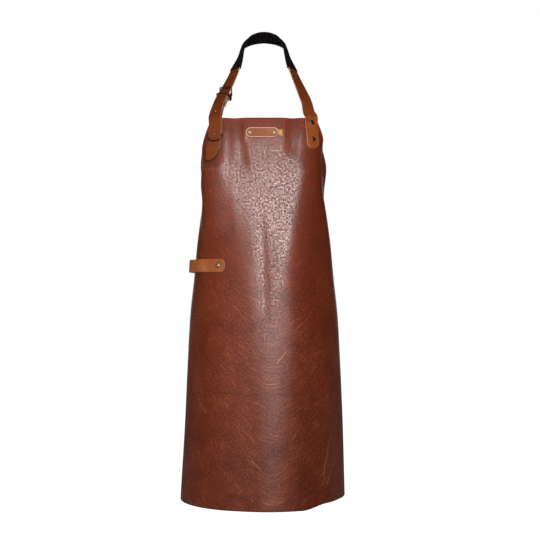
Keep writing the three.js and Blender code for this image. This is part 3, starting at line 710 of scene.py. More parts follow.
def rounded_outline(half_width, low, high, corner, steps):
    """Points round a rectangle with rounded corners: how far sideways, and how high between low and high."""
    points = []
    for quarter, (right, upper) in enumerate(((1, True), (-1, True), (-1, False), (1, False))):
        for angle in np.radians(90 * quarter + np.linspace(0, 90, steps)):
            sideways = right * (half_width - corner) + corner * math.cos(angle)
            height = (high - corner if upper else low + corner) + corner * math.sin(angle)
            points.append((sideways, height))
    return points


BAR_SIDES = 12
ANY_DIRECTION = (0.3, 0.5, 0.8)


def bar_frames(line, closed):
    """Two directions across a bar at each point of its line, without twist."""
    ahead = np.roll(line, -1, axis=0)
    behind = np.roll(line, 1, axis=0)
    if not closed:
        ahead[-1] = line[-1]
        behind[0] = line[0]
    along = unit(ahead - behind)
    first = [unit(np.cross(along[0], ANY_DIRECTION))]
    for direction in along[1:]:
        first.append(unit(first[-1] - direction * np.dot(first[-1], direction)))
    first = np.array(first)
    if closed:
        end = first[-1] - along[0] * np.dot(first[-1], along[0])
        twist = math.atan2(np.dot(np.cross(end, first[0]), along[0]), np.dot(end, first[0]))
        turn = (twist * np.arange(len(line)) / len(line))[:, None]
        first = first * np.cos(turn) + np.cross(along, first) * np.sin(turn)
    return first, np.cross(along, first)


def bar_rings(line, radius, closed):
    """A ring of points round a bar at each point of its line."""
    first, second = bar_frames(line, closed)
    angle = (2 * np.pi * np.arange(BAR_SIDES) / BAR_SIDES)[:, None]
    around = first[:, None] * np.cos(angle) + second[:, None] * np.sin(angle)
    return line[:, None] + np.reshape(radius, (-1, 1, 1)) * around


def bar_loop(name, line, radius):
    """An endless round bar: a ring laid along its line."""
    obj = primitive(name, bpy.ops.mesh.primitive_torus_add, major_segments=len(line),
                    minor_segments=BAR_SIDES, major_radius=0.02, minor_radius=0.002)
    move_points(obj, bar_rings(line, radius, True))
    faces_outwards(obj)
    smooth(obj, 60)
    return obj


def even_line(points, count, closed):
    """Evenly spaced places on a smooth curve through points."""
    shares = np.linspace(0, 1, 1200)
    line = smooth_curve(points, shares, True, closed)
    lengths = lengths_along(line)
    wanted = np.linspace(0, lengths[-1], count, endpoint=not closed)
    return smooth_curve(points, np.interp(wanted, lengths, shares), True, closed)


def buckle_frame():
    tilt = (FRONT_BAR_HEIGHT - HEEL_BAR_HEIGHT) / (2 * FRAME_HALF_LENGTH)
    middle = (FRONT_BAR_HEIGHT + HEEL_BAR_HEIGHT) / 2
    outline = rounded_outline(FRAME_HALF_WIDTH, -FRAME_HALF_LENGTH, FRAME_HALF_LENGTH, FRAME_CORNER, 9)
    line = np.array([at_buckle(up, side, middle + tilt * up) for side, up in outline])
    return bar_loop("buckle_frame_brass", line, BUCKLE_RADIUS)


def keeper_ring():
    at = NECK.distance_at_height(BIB_TOP - RING_DOWN, True)
    side = STRAP_WIDTH / 2 + BUCKLE_CLEAR + WIRE_RADIUS
    front = STRAP_THICKNESS / 2 + BUCKLE_CLEAR + WIRE_RADIUS
    back = GAP + WIRE_RADIUS - FREE_END_HEIGHT
    points = []
    for angle in np.radians([0, 25, 55, 90, 125, 155, 180]):
        points.append(NECK.one(at + RING_BOW * math.sin(angle), side * math.cos(angle), front))
    # Round the back: sideways, up the strap, height
    for sideways, up, height in (
        (-side, 2, (front + back) / 2),
        (0.7 - side, 3, back + 1),
        (3 - side, 3, back),
        (0, 3, back),
        (side - 3, 3, back),
        (side - 0.7, 3, back + 1),
        (side, 2, (front + back) / 2),
    ):
        points.append(NECK.one(at - up, sideways, height))
    return bar_loop("keeper_ring_brass", even_line(points, 110, True), WIRE_RADIUS)


def buckle_prong():
    hook = BUCKLE_RADIUS + GAP + PRONG_RADIUS
    over_bar = FRONT_BAR_HEIGHT + BUCKLE_RADIUS + GAP + PRONG_RADIUS
    points = []
    for angle in np.radians([250, 200, 150, 100]):
        points.append(at_buckle(-FRAME_HALF_LENGTH + hook * math.cos(angle), 0,
                                HEEL_BAR_HEIGHT + hook * math.sin(angle)))
    points.append(at_buckle(-1.5, 0, 0))
    points.append(at_buckle(FRAME_HALF_LENGTH - 2, 0, over_bar))
    points.append(at_buckle(FRAME_HALF_LENGTH + 3, 0, over_bar))
    line = even_line(points, 40, False)
    taper = PRONG_RADIUS * np.minimum(1, np.linspace(*PRONG_TAPER, len(line)))
    obj = tube_skin("buckle_prong_brass", bar_rings(line, taper, False))
    bpy.ops.object.mode_set(mode="EDIT")
    bpy.ops.mesh.select_mode(type="EDGE")
    bpy.ops.mesh.select_all(action="DESELECT")
    bpy.ops.mesh.select_non_manifold()
    bpy.ops.mesh.edge_face_add()
    bpy.ops.object.mode_set(mode="OBJECT")
    faces_outwards(obj)
    smooth(obj, 50)
    return obj


def strap_keeper(leather):
    point, along, out, side = NECK.frame_at(HEEL_AT + KEEPER_BELOW)
    half_length = KEEPER_LENGTH / 2
    wall = BUCKLE_CLEAR + KEEPER_THICKNESS
    low = back_layer(KEEPER_BELOW - half_length) - STRAP_THICKNESS / 2 - wall
    outline = rounded_outline(STRAP_WIDTH / 2 + wall, low, STRAP_THICKNESS / 2 + wall, KEEPER_CORNER, 7)
    ring = np.array([point + side * sideways + out * height for sideways, height in outline])
    reach = np.linspace(-half_length, half_length, 7)
    obj = tube_skin("strap_keeper_leather", ring + reach[:, None, None] * along)
    give_thickness(obj, leather, KEEPER_THICKNESS, edge_radius=0.4)
    smooth(obj, 45)
    return obj


# Forms of rivet: head radius, head height, post radius, back radius, back height
DOME_RIVET = (5.3, 2.4, 2.0, 3.8, 1.0)
LOW_RIVET = (4.2, 1.0, 2.0, 3.8, 1.0)
PATCH_RIVET = (4.0, 1.9, 1.5, 3.2, 0.9)
STRAP_STACK = GAP + STRAP_THICKNESS
PATCH_STACK = GAP + PATCH_THICKNESS
HEAD_GAP = 0.4
BACK_CAP_GAP = 0.8
RIM_SHARE, CROWN_RINGS, CROWN_ANGLE, BACK_TAPER = 0.3, 8, 86, 0.8
PATCH_RIVET_FROM_MIDDLE = 27.0

# All rivets: node, form, what lies between the head and the panel, place across and down on the panel
RIVETS = (
    ("strap_rivet_right_upper", DOME_RIVET, STRAP_STACK, 104.4, 12),
    ("strap_rivet_right_lower", DOME_RIVET, STRAP_STACK, 107.4, 49),
    ("strap_rivet_left_upper", LOW_RIVET, STRAP_STACK, -104.2, 10),
    ("strap_rivet_left_lower", LOW_RIVET, STRAP_STACK, -107.2, 63),
    ("patch_rivet_left", PATCH_RIVET, PATCH_STACK, PATCH_ACROSS - PATCH_RIVET_FROM_MIDDLE, PATCH_DOWN),
    ("patch_rivet_right", PATCH_RIVET, PATCH_STACK, PATCH_ACROSS + PATCH_RIVET_FROM_MIDDLE, PATCH_DOWN),
    ("towel_loop_rivet_front", DOME_RIVET, STRAP_STACK, -102, TOWEL_LOOP_DOWN),
    ("towel_loop_rivet_back", DOME_RIVET, STRAP_STACK, -274, TOWEL_LOOP_DOWN + TOWEL_LOOP_DROP),
)


def select_end(obj, highest):
    """Selects the one flat end face of a turned form, at its top or its bottom."""
    bpy.ops.mesh.select_all(action="DESELECT")
    bpy.ops.object.mode_set(mode="OBJECT")
    ends = [face for face in obj.data.polygons if len(face.vertices) > 8]
    chosen = sorted(ends, key=lambda face: face.center.z)[-1 if highest else 0]
    chosen.select = True
    bpy.ops.object.mode_set(mode="EDIT")


def rivet(name, kind, stack):
    """A rivet standing at the origin: rolled head rim, domed crown, post and back cap."""
    head_radius, head_height, post_radius, back_radius, back_height = kind
    under = stack + HEAD_GAP
    behind = PANEL_THICKNESS + BACK_CAP_GAP
    rim = RIM_SHARE * head_height
    obj = primitive(name, bpy.ops.mesh.primitive_cylinder_add, vertices=40, radius=head_radius * MM,
                    depth=rim * MM, location=(0, 0, (under + rim / 2) * MM))
    bpy.ops.object.transform_apply(location=True, rotation=True, scale=True)
    bpy.ops.object.mode_set(mode="EDIT")
    bpy.ops.mesh.select_mode(type="FACE")
    radius, height = head_radius, rim
    for ring in range(1, CROWN_RINGS + 1):
        angle = math.radians(CROWN_ANGLE * ring / CROWN_RINGS)
        next_radius = head_radius * math.cos(angle)
        next_height = rim + (head_height - rim) * math.sin(angle)
        select_end(obj, True)
        bpy.ops.mesh.inset(thickness=(radius - next_radius) * MM)
        bpy.ops.transform.translate(value=(0, 0, (next_height - height) * MM))
        radius, height = next_radius, next_height
    select_end(obj, False)
    bpy.ops.mesh.inset(thickness=(head_radius - post_radius) * MM)
    for drop, grow, at in (
        (under + behind, 1, behind),
        (0, back_radius / post_radius, behind),
        (back_height, BACK_TAPER, behind + back_height),
    ):
        bpy.ops.mesh.extrude_region_move(TRANSFORM_OT_translate={"value": (0, 0, -drop * MM)})
        bpy.ops.transform.resize(value=(grow, grow, 1), center_override=(0, 0, -at * MM))
    bpy.ops.object.mode_set(mode="OBJECT")
    faces_outwards(obj)
    smooth(obj, 40)
    return obj


def seat_rivet(obj, across, down):
    out = Vector(panel_out(np.array([float(across)]), np.array([float(down)]))[0])
    seat = Vector(on_panel([across], [down])[0]) * MM
    turn = Vector((0, 0, 1)).rotation_difference(out).to_matrix().to_4x4()
    obj.data.transform(Matrix.Translation(seat) @ turn)


# Shading nodes

VALUE, VECTOR, COLOUR = "NodeSocketFloat", "NodeSocketVector", "NodeSocketColor"


def socket_type(value):
    if isinstance(value, tuple):
        return COLOUR if len(value) == 4 else VECTOR
    return VALUE


class Nodes:
    """The nodes of a finish, of a shared effect or of the room."""

    def __init__(self, tree):
        self.tree = tree

    def feed(self, socket, value):
        if isinstance(value, bpy.types.NodeSocket):
            self.tree.links.new(value, socket)
        elif socket.type == "RGBA":
            socket.default_value = (*value, 1)
        else:
            socket.default_value = value

    def node(self, kind, settings=None, **values):
        made = self.tree.nodes.new("ShaderNode" + kind)
        for key, value in (settings or {}).items():
            setattr(made, key, value)
        for key, value in values.items():
            self.feed(made.inputs[key.replace("_", " ")], value)
        return made

    def math(self, operation, first, second=0.0):
        made = self.node("Math", {"operation": operation})
        self.feed(made.inputs[0], first)
        self.feed(made.inputs[1], second)
        return made.outputs[0]

    def plus(self, first, second):
        return self.math("ADD", first, second)

    def minus(self, first, second):
        return self.math("SUBTRACT", first, second)

    def times(self, first, second):
        return self.math("MULTIPLY", first, second)

    def vector(self, operation, first, second=(0, 0, 0)):
        made = self.node("VectorMath", {"operation": operation})
        self.feed(made.inputs[0], first)
        self.feed(made.inputs[1], second)
        return made.outputs["Value" if operation in ("LENGTH", "DOT_PRODUCT") else "Vector"]

    def scaled(self, vector, scale):
        return self.node("VectorMath", {"operation": "SCALE"}, Vector=vector, Scale=scale).outputs["Vector"]

    def split(self, vector):
        return self.node("SeparateXYZ", Vector=vector).outputs

    def noise(self, vector, scale, detail, **values):
        return self.node("TexNoise", Vector=vector, Scale=scale, Detail=detail, **values).outputs

    def ramp(self, value, low, high, from_value=0.0, to_value=1.0):
        """A value eased from one level to another between two limits."""
        made = self.node("MapRange", {"interpolation_type": "SMOOTHSTEP"}, Value=value, From_Min=low,
                         From_Max=high, To_Min=from_value, To_Max=to_value)
        return made.outputs["Result"]

    def blend(self, share, first, second):
        """The first colour, with a share of the second over it."""
        made = self.node("Mix", {"data_type": "RGBA"}, Factor=share)
        self.feed(made.inputs[6], first)
        self.feed(made.inputs[7], second)
        return made.outputs[2]

    def effect(self, shared, **values):
        return self.node("Group", {"node_tree": shared}, **values).outputs


class Effect(Nodes):
    """A shared effect under way: a node group with named inputs and outputs."""

    def __init__(self, name, inputs, outputs):
        super().__init__(bpy.data.node_groups.new(name, "ShaderNodeTree"))
        for key, value in inputs.items():
            made = self.tree.interface.new_socket(name=key, in_out="INPUT", socket_type=socket_type(value))
            made.default_value = value
        for key, kind in outputs.items():
            self.tree.interface.new_socket(name=key, in_out="OUTPUT", socket_type=kind)
        self.inputs = self.tree.nodes.new("NodeGroupInput").outputs
        self.outputs = self.tree.nodes.new("NodeGroupOutput").inputs

    def give(self, **values):
        for key, value in values.items():
            self.feed(self.outputs[key], value)
        return self.tree


class Finish(Nodes):
    """A material under way, with its one shader."""

    def __init__(self, name, specular, roughness=0.5, metallic=0.0):
        self.material = bpy.data.materials.new(name)
        self.material.use_nodes = True
        super().__init__(self.material.node_tree)
        self.shader = self.tree.nodes["Principled BSDF"].inputs
        self.set(Specular_IOR_Level=specular, Roughness=roughness, Metallic=metallic)

    def set(self, **values):
        for key, value in values.items():
            self.feed(self.shader[key.replace("_", " ")], value)

    def lay(self):
        return self.node("UVMap", {"uv_map": "lay"}).outputs["UV"]

    def place(self):
        return self.node("TexCoord").outputs["Object"]

    def relief(self, height, depth, over=None):
        """Fine relief of the surface, over another one if given."""
        bump = self.node("Bump", Height=height, Distance=depth, Strength=1.0)
        if over is not None:
            self.feed(bump.inputs["Normal"], over)
        self.set(Normal=bump.outputs["Normal"])
        return bump.outputs["Normal"]


# Shared effects of the finishes

def leather_grain():
    """Pebbled grain: Height of the pebbles, dark Pores between them, and Dull spots in the polish."""
    effect = Effect("leather_grain", {"Vector": (0, 0, 0), "Pebble": 0.0016, "Unevenness": 0.5},
                    {"Height": VALUE, "Pores": VALUE, "Dull": VALUE})
    lay, pebble = effect.inputs["Vector"], effect.inputs["Pebble"]
    scale = effect.math("DIVIDE", 1.0, pebble)
    wobble = effect.noise(lay, effect.times(scale, 0.35), 2.0)["Color"]
    moved = effect.vector("ADD", lay, effect.scaled(wobble, effect.times(pebble, 1.2)))
    pebbles = effect.node("TexVoronoi", {"feature": "SMOOTH_F1"}, Vector=moved, Scale=scale)
    distance = pebbles.outputs["Distance"]
    broad = effect.noise(lay, effect.times(scale, 0.5), 2.0, Roughness=0.6)["Fac"]
    uneven = effect.times(broad, effect.inputs["Unevenness"])
    return effect.give(Height=effect.plus(effect.times(distance, -0.35), uneven),
                       Pores=effect.ramp(distance, 0.45, 0.8),
                       Dull=effect.ramp(broad, 0.36, 0.60, 1.0, 0.0))


def cloud_tone():
    """Soft cloudy change of tone between three colours, as in waxed leather that has been handled."""
    effect = Effect("cloud_tone", {"Vector": (0, 0, 0), "Size": 0.08, "Dark": (0, 0, 0, 1),
                                   "Middle": (0.5, 0.5, 0.5, 1), "Light": (1, 1, 1, 1)},
                    {"Color": COLOUR, "Mask": VALUE})
    given = effect.inputs
    scale = effect.math("DIVIDE", 1.0, given["Size"])
    mask = effect.noise(given["Vector"], scale, 5.0, Roughness=0.62, Distortion=0.4)["Fac"]
    lower = effect.blend(effect.ramp(mask, 0.28, 0.52), given["Dark"], given["Middle"])
    return effect.give(Color=effect.blend(effect.ramp(mask, 0.5, 0.74), lower, given["Light"]), Mask=mask)


def mark_line():
    """A straight mark on the leather, such as a crease: 1 on it, fading to its sides and ends."""
    effect = Effect("mark_line", {"Vector": (0, 0, 0), "Start": (0, 0, 0), "End": (1, 0, 0), "Width": 0.001},
                    {"Mask": VALUE})
    run = effect.vector("SUBTRACT", effect.inputs["End"], effect.inputs["Start"])
    reach = effect.vector("SUBTRACT", effect.inputs["Vector"], effect.inputs["Start"])
    share = effect.math("DIVIDE", effect.vector("DOT_PRODUCT", reach, run),
                        effect.vector("DOT_PRODUCT", run, run))
    held = effect.node("Clamp", Value=share).outputs[0]
    beside = effect.vector("SUBTRACT", reach, effect.scaled(run, held))
    away = effect.math("DIVIDE", effect.vector("LENGTH", beside), effect.inputs["Width"])
    ends = effect.ramp(effect.times(held, effect.minus(1.0, held)), 0.0, 0.12)
    return effect.give(Mask=effect.times(effect.ramp(away, 0.0, 1.0, 1.0, 0.0), ends))


def woven_cloth():
    """Plain weave: Height of the threads and their Shade."""
    effect = Effect("woven_cloth", {"Vector": (0, 0, 0), "Thread": 0.0006},
                    {"Height": VALUE, "Shade": VALUE})
    turns = effect.math("DIVIDE", math.pi, effect.inputs["Thread"])
    parts = effect.split(effect.scaled(effect.inputs["Vector"], turns))
    weave = effect.times(effect.math("SINE", parts["X"]), effect.math("SINE", parts["Y"]))
    fuzz = effect.noise(effect.inputs["Vector"], 900.0, 3.0)["Fac"]
    return effect.give(Height=effect.plus(effect.math("ABSOLUTE", weave), effect.times(fuzz, 0.4)),
                       Shade=effect.ramp(effect.plus(weave, fuzz), -0.4, 1.4))


def strap_painted_shade():
    """Painted shade on the straps: darker towards the Neck, and on the Left above the towel loop."""
    effect = Effect("strap_painted_shade", {"Vector": (0, 0, 0)}, {"Neck": VALUE, "Left": VALUE})
    place = effect.split(effect.inputs["Vector"])
    above_loop = effect.ramp(place["Z"], -0.42, -0.36)
    return effect.give(Neck=effect.ramp(place["Z"], -0.27, -0.13, 0.0, 0.75),
                       Left=effect.times(effect.ramp(place["X"], -0.09, -0.05, 0.6, 0.0), above_loop))


GRAIN = leather_grain()
CLOUDS = cloud_tone()
MARK = mark_line()
WEAVE = woven_cloth()
PAINTED_STRAP_SHADE_GROUP = strap_painted_shade()

# Marks on the panel, in metres on the flat leather: start, end, half-width
SCRATCHES = (
    ((0.156, -0.697), (0.137, -0.783), 0.0019),
    ((0.184, -0.738), (0.146, -0.801), 0.0018),
    ((-0.028, -0.736), (-0.002, -0.760), 0.0012),
    ((-0.044, -0.801), (-0.053, -0.812), 0.0011),
    ((0.050, -0.505), (0.026, -0.535), 0.0015),
    ((-0.170, -0.610), (-0.135, -0.645), 0.0011),
)
CREASES_AND_TIP_SHADOW = (
    ((-0.130, -0.597), (0.005, -0.601), 0.0026),
    ((-0.010, -0.596), (0.075, -0.603), 0.0026),
    ((-0.050, -0.7035), (-0.045, -0.7020), 0.0030),
    # painted shadow under the free end of the neck strap, drawn as a crease
    ((-0.126, -0.111), (-0.098, -0.100), 0.0080),
)
SOFT_CREASES = (
    ((0.010, -0.082), (0.009, -0.156), 0.0045),
    ((0.002, -0.158), (0.074, -0.138), 0.0045),
)

# The growth lines of the hide run as a wide rounded V: its middle and rounding in metres, and its slope
V_MIDDLE, V_ROUNDING, V_SLOPE = 0.045, 0.04, 1.2

# Colours of the marks on the leather, and of the painted light and shade on it
PAINTED_RIGHT_LIGHT = (0.52, 0.105, 0.036)
PAINTED_SIDE_SHADE = (0.12, 0.014, 0.003)
WISP_TINT = (0.46, 0.105, 0.045)
DARK_SPECK, LIGHT_SPECK = (0.09, 0.009, 0.002), (0.52, 0.11, 0.042)
DULL_SHADE = (0.11, 0.013, 0.004)
HAIR_TINT = (0.54, 0.14, 0.060)
PAINTED_CREASE_SHADE = (0.06, 0.008, 0.003)
SCRATCH_TINT = (0.70, 0.24, 0.10)
PALE_RIM_WITH_HIGHLIGHT = (0.85, 0.48, 0.34)
PORE_SHADE, GROOVE_SHADE, PAINTED_STRAP_SHADE = 0.45, 0.4, (0.5, 0.425, 0.15)


# Finishes

def tones(dark, middle, light):
    return {"Dark": dark, "Middle": middle, "Light": light}


def marks(leather, lay, table):
    """All marks of a table together as one mask."""
    total = None
    for start, end, width in table:
        mask = leather.effect(MARK, Vector=lay, Start=(*start, 0), End=(*end, 0), Width=width)["Mask"]
        total = mask if total is None else leather.math("MAXIMUM", total, mask)
    return total


def growth_lines(leather, lay):
    """Broad and fine streaks along the growth lines, and the wandering level that they are drawn at."""
    wander = leather.noise(lay, 9.0, 2.0)["Color"]
    bent = leather.split(leather.vector("ADD", lay, leather.scaled(wander, 0.05)))
    from_middle = leather.math("POWER", leather.minus(bent["X"], V_MIDDLE), 2.0)
    side = leather.math("SQRT", leather.plus(from_middle, V_ROUNDING ** 2))
    across = leather.minus(leather.times(side, V_SLOPE), bent["Y"])
    along = leather.plus(side, leather.times(bent["Y"], V_SLOPE))

    def streaks(per_metre_along, per_metre_across, detail, roughness):
        place = leather.node("CombineXYZ", X=leather.times(along, per_metre_along),
                             Y=leather.times(across, per_metre_across))
        return leather.noise(place.outputs[0], 1.0, detail, Roughness=roughness)["Fac"]

    return streaks(16.0, 130.0, 4.0, 0.6), streaks(22.0, 250.0, 2.0, 0.5), bent["Y"]


def body_leather(tone_colours):
    """Waxed reddish-brown leather with cloudy tone, growth lines, creases and a few scratches, with painted
    light and shade: lighter towards the right edge, a darker band right of the middle, shade in the creases
    and a shadow under the free strap end.
    """
    leather = Finish("body_leather", specular=0.5)
    lay = leather.lay()
    tone = leather.effect(CLOUDS, Vector=lay, Size=0.06, **tone_colours)
    grain = leather.effect(GRAIN, Vector=lay, Pebble=0.0020, Unevenness=2.0)
    growth, hair, level = growth_lines(leather, lay)
    below_bib = leather.ramp(level, -0.5, -0.12, 1.0, 0.3)
    wisps = leather.times(leather.ramp(growth, 0.52, 0.74), below_bib)
    hair_places = leather.times(leather.ramp(tone["Mask"], 0.40, 0.56), below_bib)
    hairs = leather.times(leather.ramp(hair, 0.55, 0.71), hair_places)
    mottle = leather.noise(lay, 250.0, 3.0, Roughness=0.7)["Fac"]
    speckle = leather.ramp(level, -0.50, -0.20, 0.6, 0.9)
    dull = leather.times(speckle, grain["Dull"])
    quiver = leather.vector("SUBTRACT", leather.noise(lay, 70.0, 3.0)["Color"], (0.5, 0.5, 0.5))
    shaken = leather.vector("ADD", lay, leather.scaled(quiver, 0.008))
    scratches = marks(leather, lay, SCRATCHES)
    soft_creases = leather.times(marks(leather, shaken, SOFT_CREASES), 0.8)
    creases_and_tip_shadow = leather.plus(marks(leather, shaken, CREASES_AND_TIP_SHADOW), soft_creases)
    across = leather.split(lay)["X"]
    # painted shade: a darker band down the panel to the right of the middle
    painted_side_shade = leather.minus(leather.ramp(across, 0.045, 0.085, 0.0, 0.45),
                                  leather.ramp(across, 0.105, 0.17, 0.0, 0.45))
    colour = tone["Color"]
    for share, tint in (
        # painted light: the leather lighter towards the right edge of the panel
        (leather.ramp(across, 0.10, 0.24, 0.0, 0.5), PAINTED_RIGHT_LIGHT),
        # painted shade to the right of the middle
        (painted_side_shade, PAINTED_SIDE_SHADE),
        (leather.times(wisps, 0.7), WISP_TINT),
        (leather.times(speckle, leather.ramp(mottle, 0.36, 0.60, 0.7, 0.0)), DARK_SPECK),
        (leather.times(speckle, leather.ramp(mottle, 0.50, 0.70, 0.0, 0.7)), LIGHT_SPECK),
        (leather.times(dull, 0.35), DULL_SHADE),
        (leather.times(hairs, 0.75), HAIR_TINT),
        # painted shade in the creases, and the painted shadow under the free strap end
        (leather.times(creases_and_tip_shadow, 0.5), PAINTED_CREASE_SHADE),
        (leather.times(scratches, 0.9), SCRATCH_TINT),
    ):
        colour = leather.blend(share, colour, tint)
    polish = leather.plus(leather.ramp(tone["Mask"], 0.3, 0.7, 0.26, 0.20), leather.times(dull, 0.32))
    duller_skirt = leather.ramp(level, -0.55, -0.22, 0.12, 0.0)
    leather.set(Base_Color=colour, Roughness=leather.plus(polish, duller_skirt))
    fine = leather.relief(leather.plus(grain["Height"], mottle), 0.00009)
    lines = leather.plus(leather.times(growth, below_bib), leather.times(creases_and_tip_shadow, -0.6))
    leather.relief(leather.plus(lines, leather.times(scratches, -0.3)), 0.00025, over=fine)
    return leather.material


def flesh_side(name, tone_colours):
    """The napped inside of the leather."""
    inside = Finish(name, specular=0.25, roughness=0.85)
    lay = inside.lay()
    inside.set(Base_Color=inside.effect(CLOUDS, Vector=lay, Size=0.03, **tone_colours)["Color"])
    inside.relief(inside.noise(lay, 900.0, 4.0, Roughness=0.7)["Fac"], 0.0003)
    return inside.material


def cut_edge(name, tone_colours):
    """The cut edge of the leather: fibres in fine layers, rubbed smooth."""
    edge = Finish(name, specular=0.35, roughness=0.6)
    place = edge.place()
    edge.set(Base_Color=edge.effect(CLOUDS, Vector=place, Size=0.012, **tone_colours)["Color"])
    edge.relief(edge.noise(place, 1600.0, 3.0)["Fac"], 0.0002)
    return edge.material


def creased_rim(strap, lay, half_length, half_width):
    """The rim of a stadium-shaped piece, pale and with a painted highlight, and the groove inside it, by
    their distance from its edge.
    """
    parts = strap.split(lay)
    from_middle = strap.math("ABSOLUTE", strap.minus(parts["X"], half_length))
    beyond = strap.math("MAXIMUM", strap.minus(from_middle, half_length - half_width), 0.0)
    away = strap.plus(strap.math("POWER", beyond, 2.0), strap.math("POWER", parts["Y"], 2.0))
    from_edge = strap.minus(half_width, strap.math("SQRT", away))
    from_groove = strap.math("ABSOLUTE", strap.minus(from_edge, 0.0029))
    return strap.ramp(from_edge, 0.0016, 0.0028, 0.9, 0.0), strap.ramp(from_groove, 0.0002, 0.0011, 1.0, 0.0)


def strap_leather(name, tone_colours, border=None):
    """Strap leather with fine grain, with painted shade towards the neck and on the left.

    border: half-length and half-width of a creased rim.
    """
    strap = Finish(name, specular=0.18)
    dark = np.array(tone_colours["Dark"])
    lay = strap.lay()
    tone = strap.effect(CLOUDS, Vector=lay, Size=0.035, **tone_colours)
    grain = strap.effect(GRAIN, Vector=lay, Pebble=0.0014, Unevenness=0.8)
    painted_shade = strap.effect(PAINTED_STRAP_SHADE_GROUP, Vector=strap.place())
    colour = strap.blend(strap.times(grain["Pores"], 0.2), tone["Color"], dark * PORE_SHADE)
    # painted shade: the straps darker towards the neck and on the left above the towel loop
    for side in ("Neck", "Left"):
        colour = strap.blend(painted_shade[side], colour, dark * PAINTED_STRAP_SHADE)
    height = grain["Height"]
    if border:
        rim, groove = creased_rim(strap, lay, *border)
        # the pale rim, lightened further as a painted highlight along the patch's rounded edge
        colour = strap.blend(rim, colour, PALE_RIM_WITH_HIGHLIGHT)
        colour = strap.blend(strap.times(groove, 0.6), colour, dark * GROOVE_SHADE)
        height = strap.minus(height, strap.times(groove, 2.5))
    strap.set(Base_Color=colour, Roughness=strap.ramp(tone["Mask"], 0.3, 0.7, 0.58, 0.44))
    strap.relief(height, 0.00010)
    return strap.material


def woven_finish(cloth, pattern, thread, dark, bright):
    """Woven cloth with a faint shade from thread to thread."""
    weave = cloth.effect(WEAVE, Vector=pattern, Thread=thread)
    cloth.set(Base_Color=cloth.blend(weave["Shade"], dark, bright))
    cloth.relief(weave["Height"], 0.0003)
    return cloth.material


def pad_cloth():
    """Black cotton webbing."""
    cloth = Finish("pad_cloth", specular=0.2, roughness=0.9)
    return woven_finish(cloth, cloth.place(), 0.0009, (0.004, 0.002, 0.002), (0.012, 0.006, 0.006))


def tag_cloth():
    """Orange woven tape."""
    cloth = Finish("tag_cloth", specular=0.3, roughness=0.75)
    return woven_finish(cloth, cloth.lay(), 0.0008, (0.90, 0.38, 0.08), (1.0, 0.60, 0.18))


def brass(name, dark, bright):
    """Antique brass: dark patina rubbed bright in places."""
    metal = Finish(name, specular=0.5, metallic=1.0)
    place = metal.place()
    middle = tuple(0.5 * (a + b) for a, b in zip(dark, bright))
    tone = metal.effect(CLOUDS, Vector=place, Size=0.004, **tones(dark, middle, bright))
    metal.set(Base_Color=tone["Color"], Roughness=metal.ramp(tone["Mask"], 0.3, 0.7, 0.48, 0.28))
    metal.relief(metal.noise(place, 700.0, 3.0)["Fac"], 0.00008)
    return metal.material


def studio_white():
    """A pale studio floor that the camera sees as white."""
    floor = Finish("studio_floor", specular=0.1, roughness=0.8)
    seen = floor.node("LightPath").outputs["Is Camera Ray"]
    floor.set(Base_Color=(0.85, 0.85, 0.85), Emission_Strength=1.0,
              Emission_Color=floor.blend(seen, (0.03, 0.03, 0.03), (1, 1, 1)))
    return floor.material


# Each leather as its grain side, its inside and its cut edge
STRAP_FLESH = flesh_side("strap_flesh", tones((0.25, 0.10, 0.045), (0.32, 0.14, 0.065), (0.40, 0.19, 0.09)))
# The straps' cut edges are pale tan, made paler still as painted light on the edges that face away from the
# lamps
STRAP_EDGE = cut_edge("strap_edge", tones((0.62, 0.34, 0.20), (0.78, 0.48, 0.33), (0.88, 0.62, 0.46)))
TAN_TONES = tones((0.28, 0.058, 0.012), (0.39, 0.090, 0.021), (0.49, 0.13, 0.038))
# The towel loop's tones are a lighter copy of the strap leather: partly its own lighter tan, partly painted
# sheen where it faces the lamps
LOOP_TONES_WITH_PAINTED_SHEEN = tones((0.36, 0.092, 0.025), (0.50, 0.145, 0.045), (0.60, 0.20, 0.075))
KEEPER_TONES = tones((0.09, 0.018, 0.004), (0.13, 0.028, 0.007), (0.19, 0.045, 0.012))
PATCH_TONES = tones((0.33, 0.105, 0.046), (0.43, 0.145, 0.068), (0.52, 0.19, 0.095))
PATCH_BORDER = (PATCH_LENGTH / 2 * MM, PATCH_WIDTH / 2 * MM)
BODY = [
    body_leather(tones((0.18, 0.028, 0.009), (0.27, 0.047, 0.016), (0.37, 0.075, 0.028))),
    flesh_side("body_flesh", tones((0.17, 0.070, 0.040), (0.23, 0.100, 0.058), (0.30, 0.14, 0.085))),
    cut_edge("body_edge", tones((0.07, 0.02, 0.01), (0.12, 0.035, 0.016), (0.2, 0.075, 0.035))),
]
TAN = [strap_leather("strap_leather", TAN_TONES), STRAP_FLESH, STRAP_EDGE]
# towel loop: lighter strap leather, partly painted sheen
LOOP = [strap_leather("loop_leather", LOOP_TONES_WITH_PAINTED_SHEEN), STRAP_FLESH, STRAP_EDGE]
KEEPER = [strap_leather("keeper_leather", KEEPER_TONES), STRAP_FLESH, STRAP_FLESH]
PATCH = [strap_leather("patch_leather", PATCH_TONES, PATCH_BORDER), STRAP_FLESH, STRAP_EDGE]
TAG = [tag_cloth()] * 3
PAD = pad_cloth()
BRASS = brass("antique_brass", (0.03, 0.022, 0.015), (0.17, 0.13, 0.088))
BRIGHT_BRASS = brass("rubbed_brass", (0.35, 0.27, 0.17), (0.75, 0.62, 0.44))

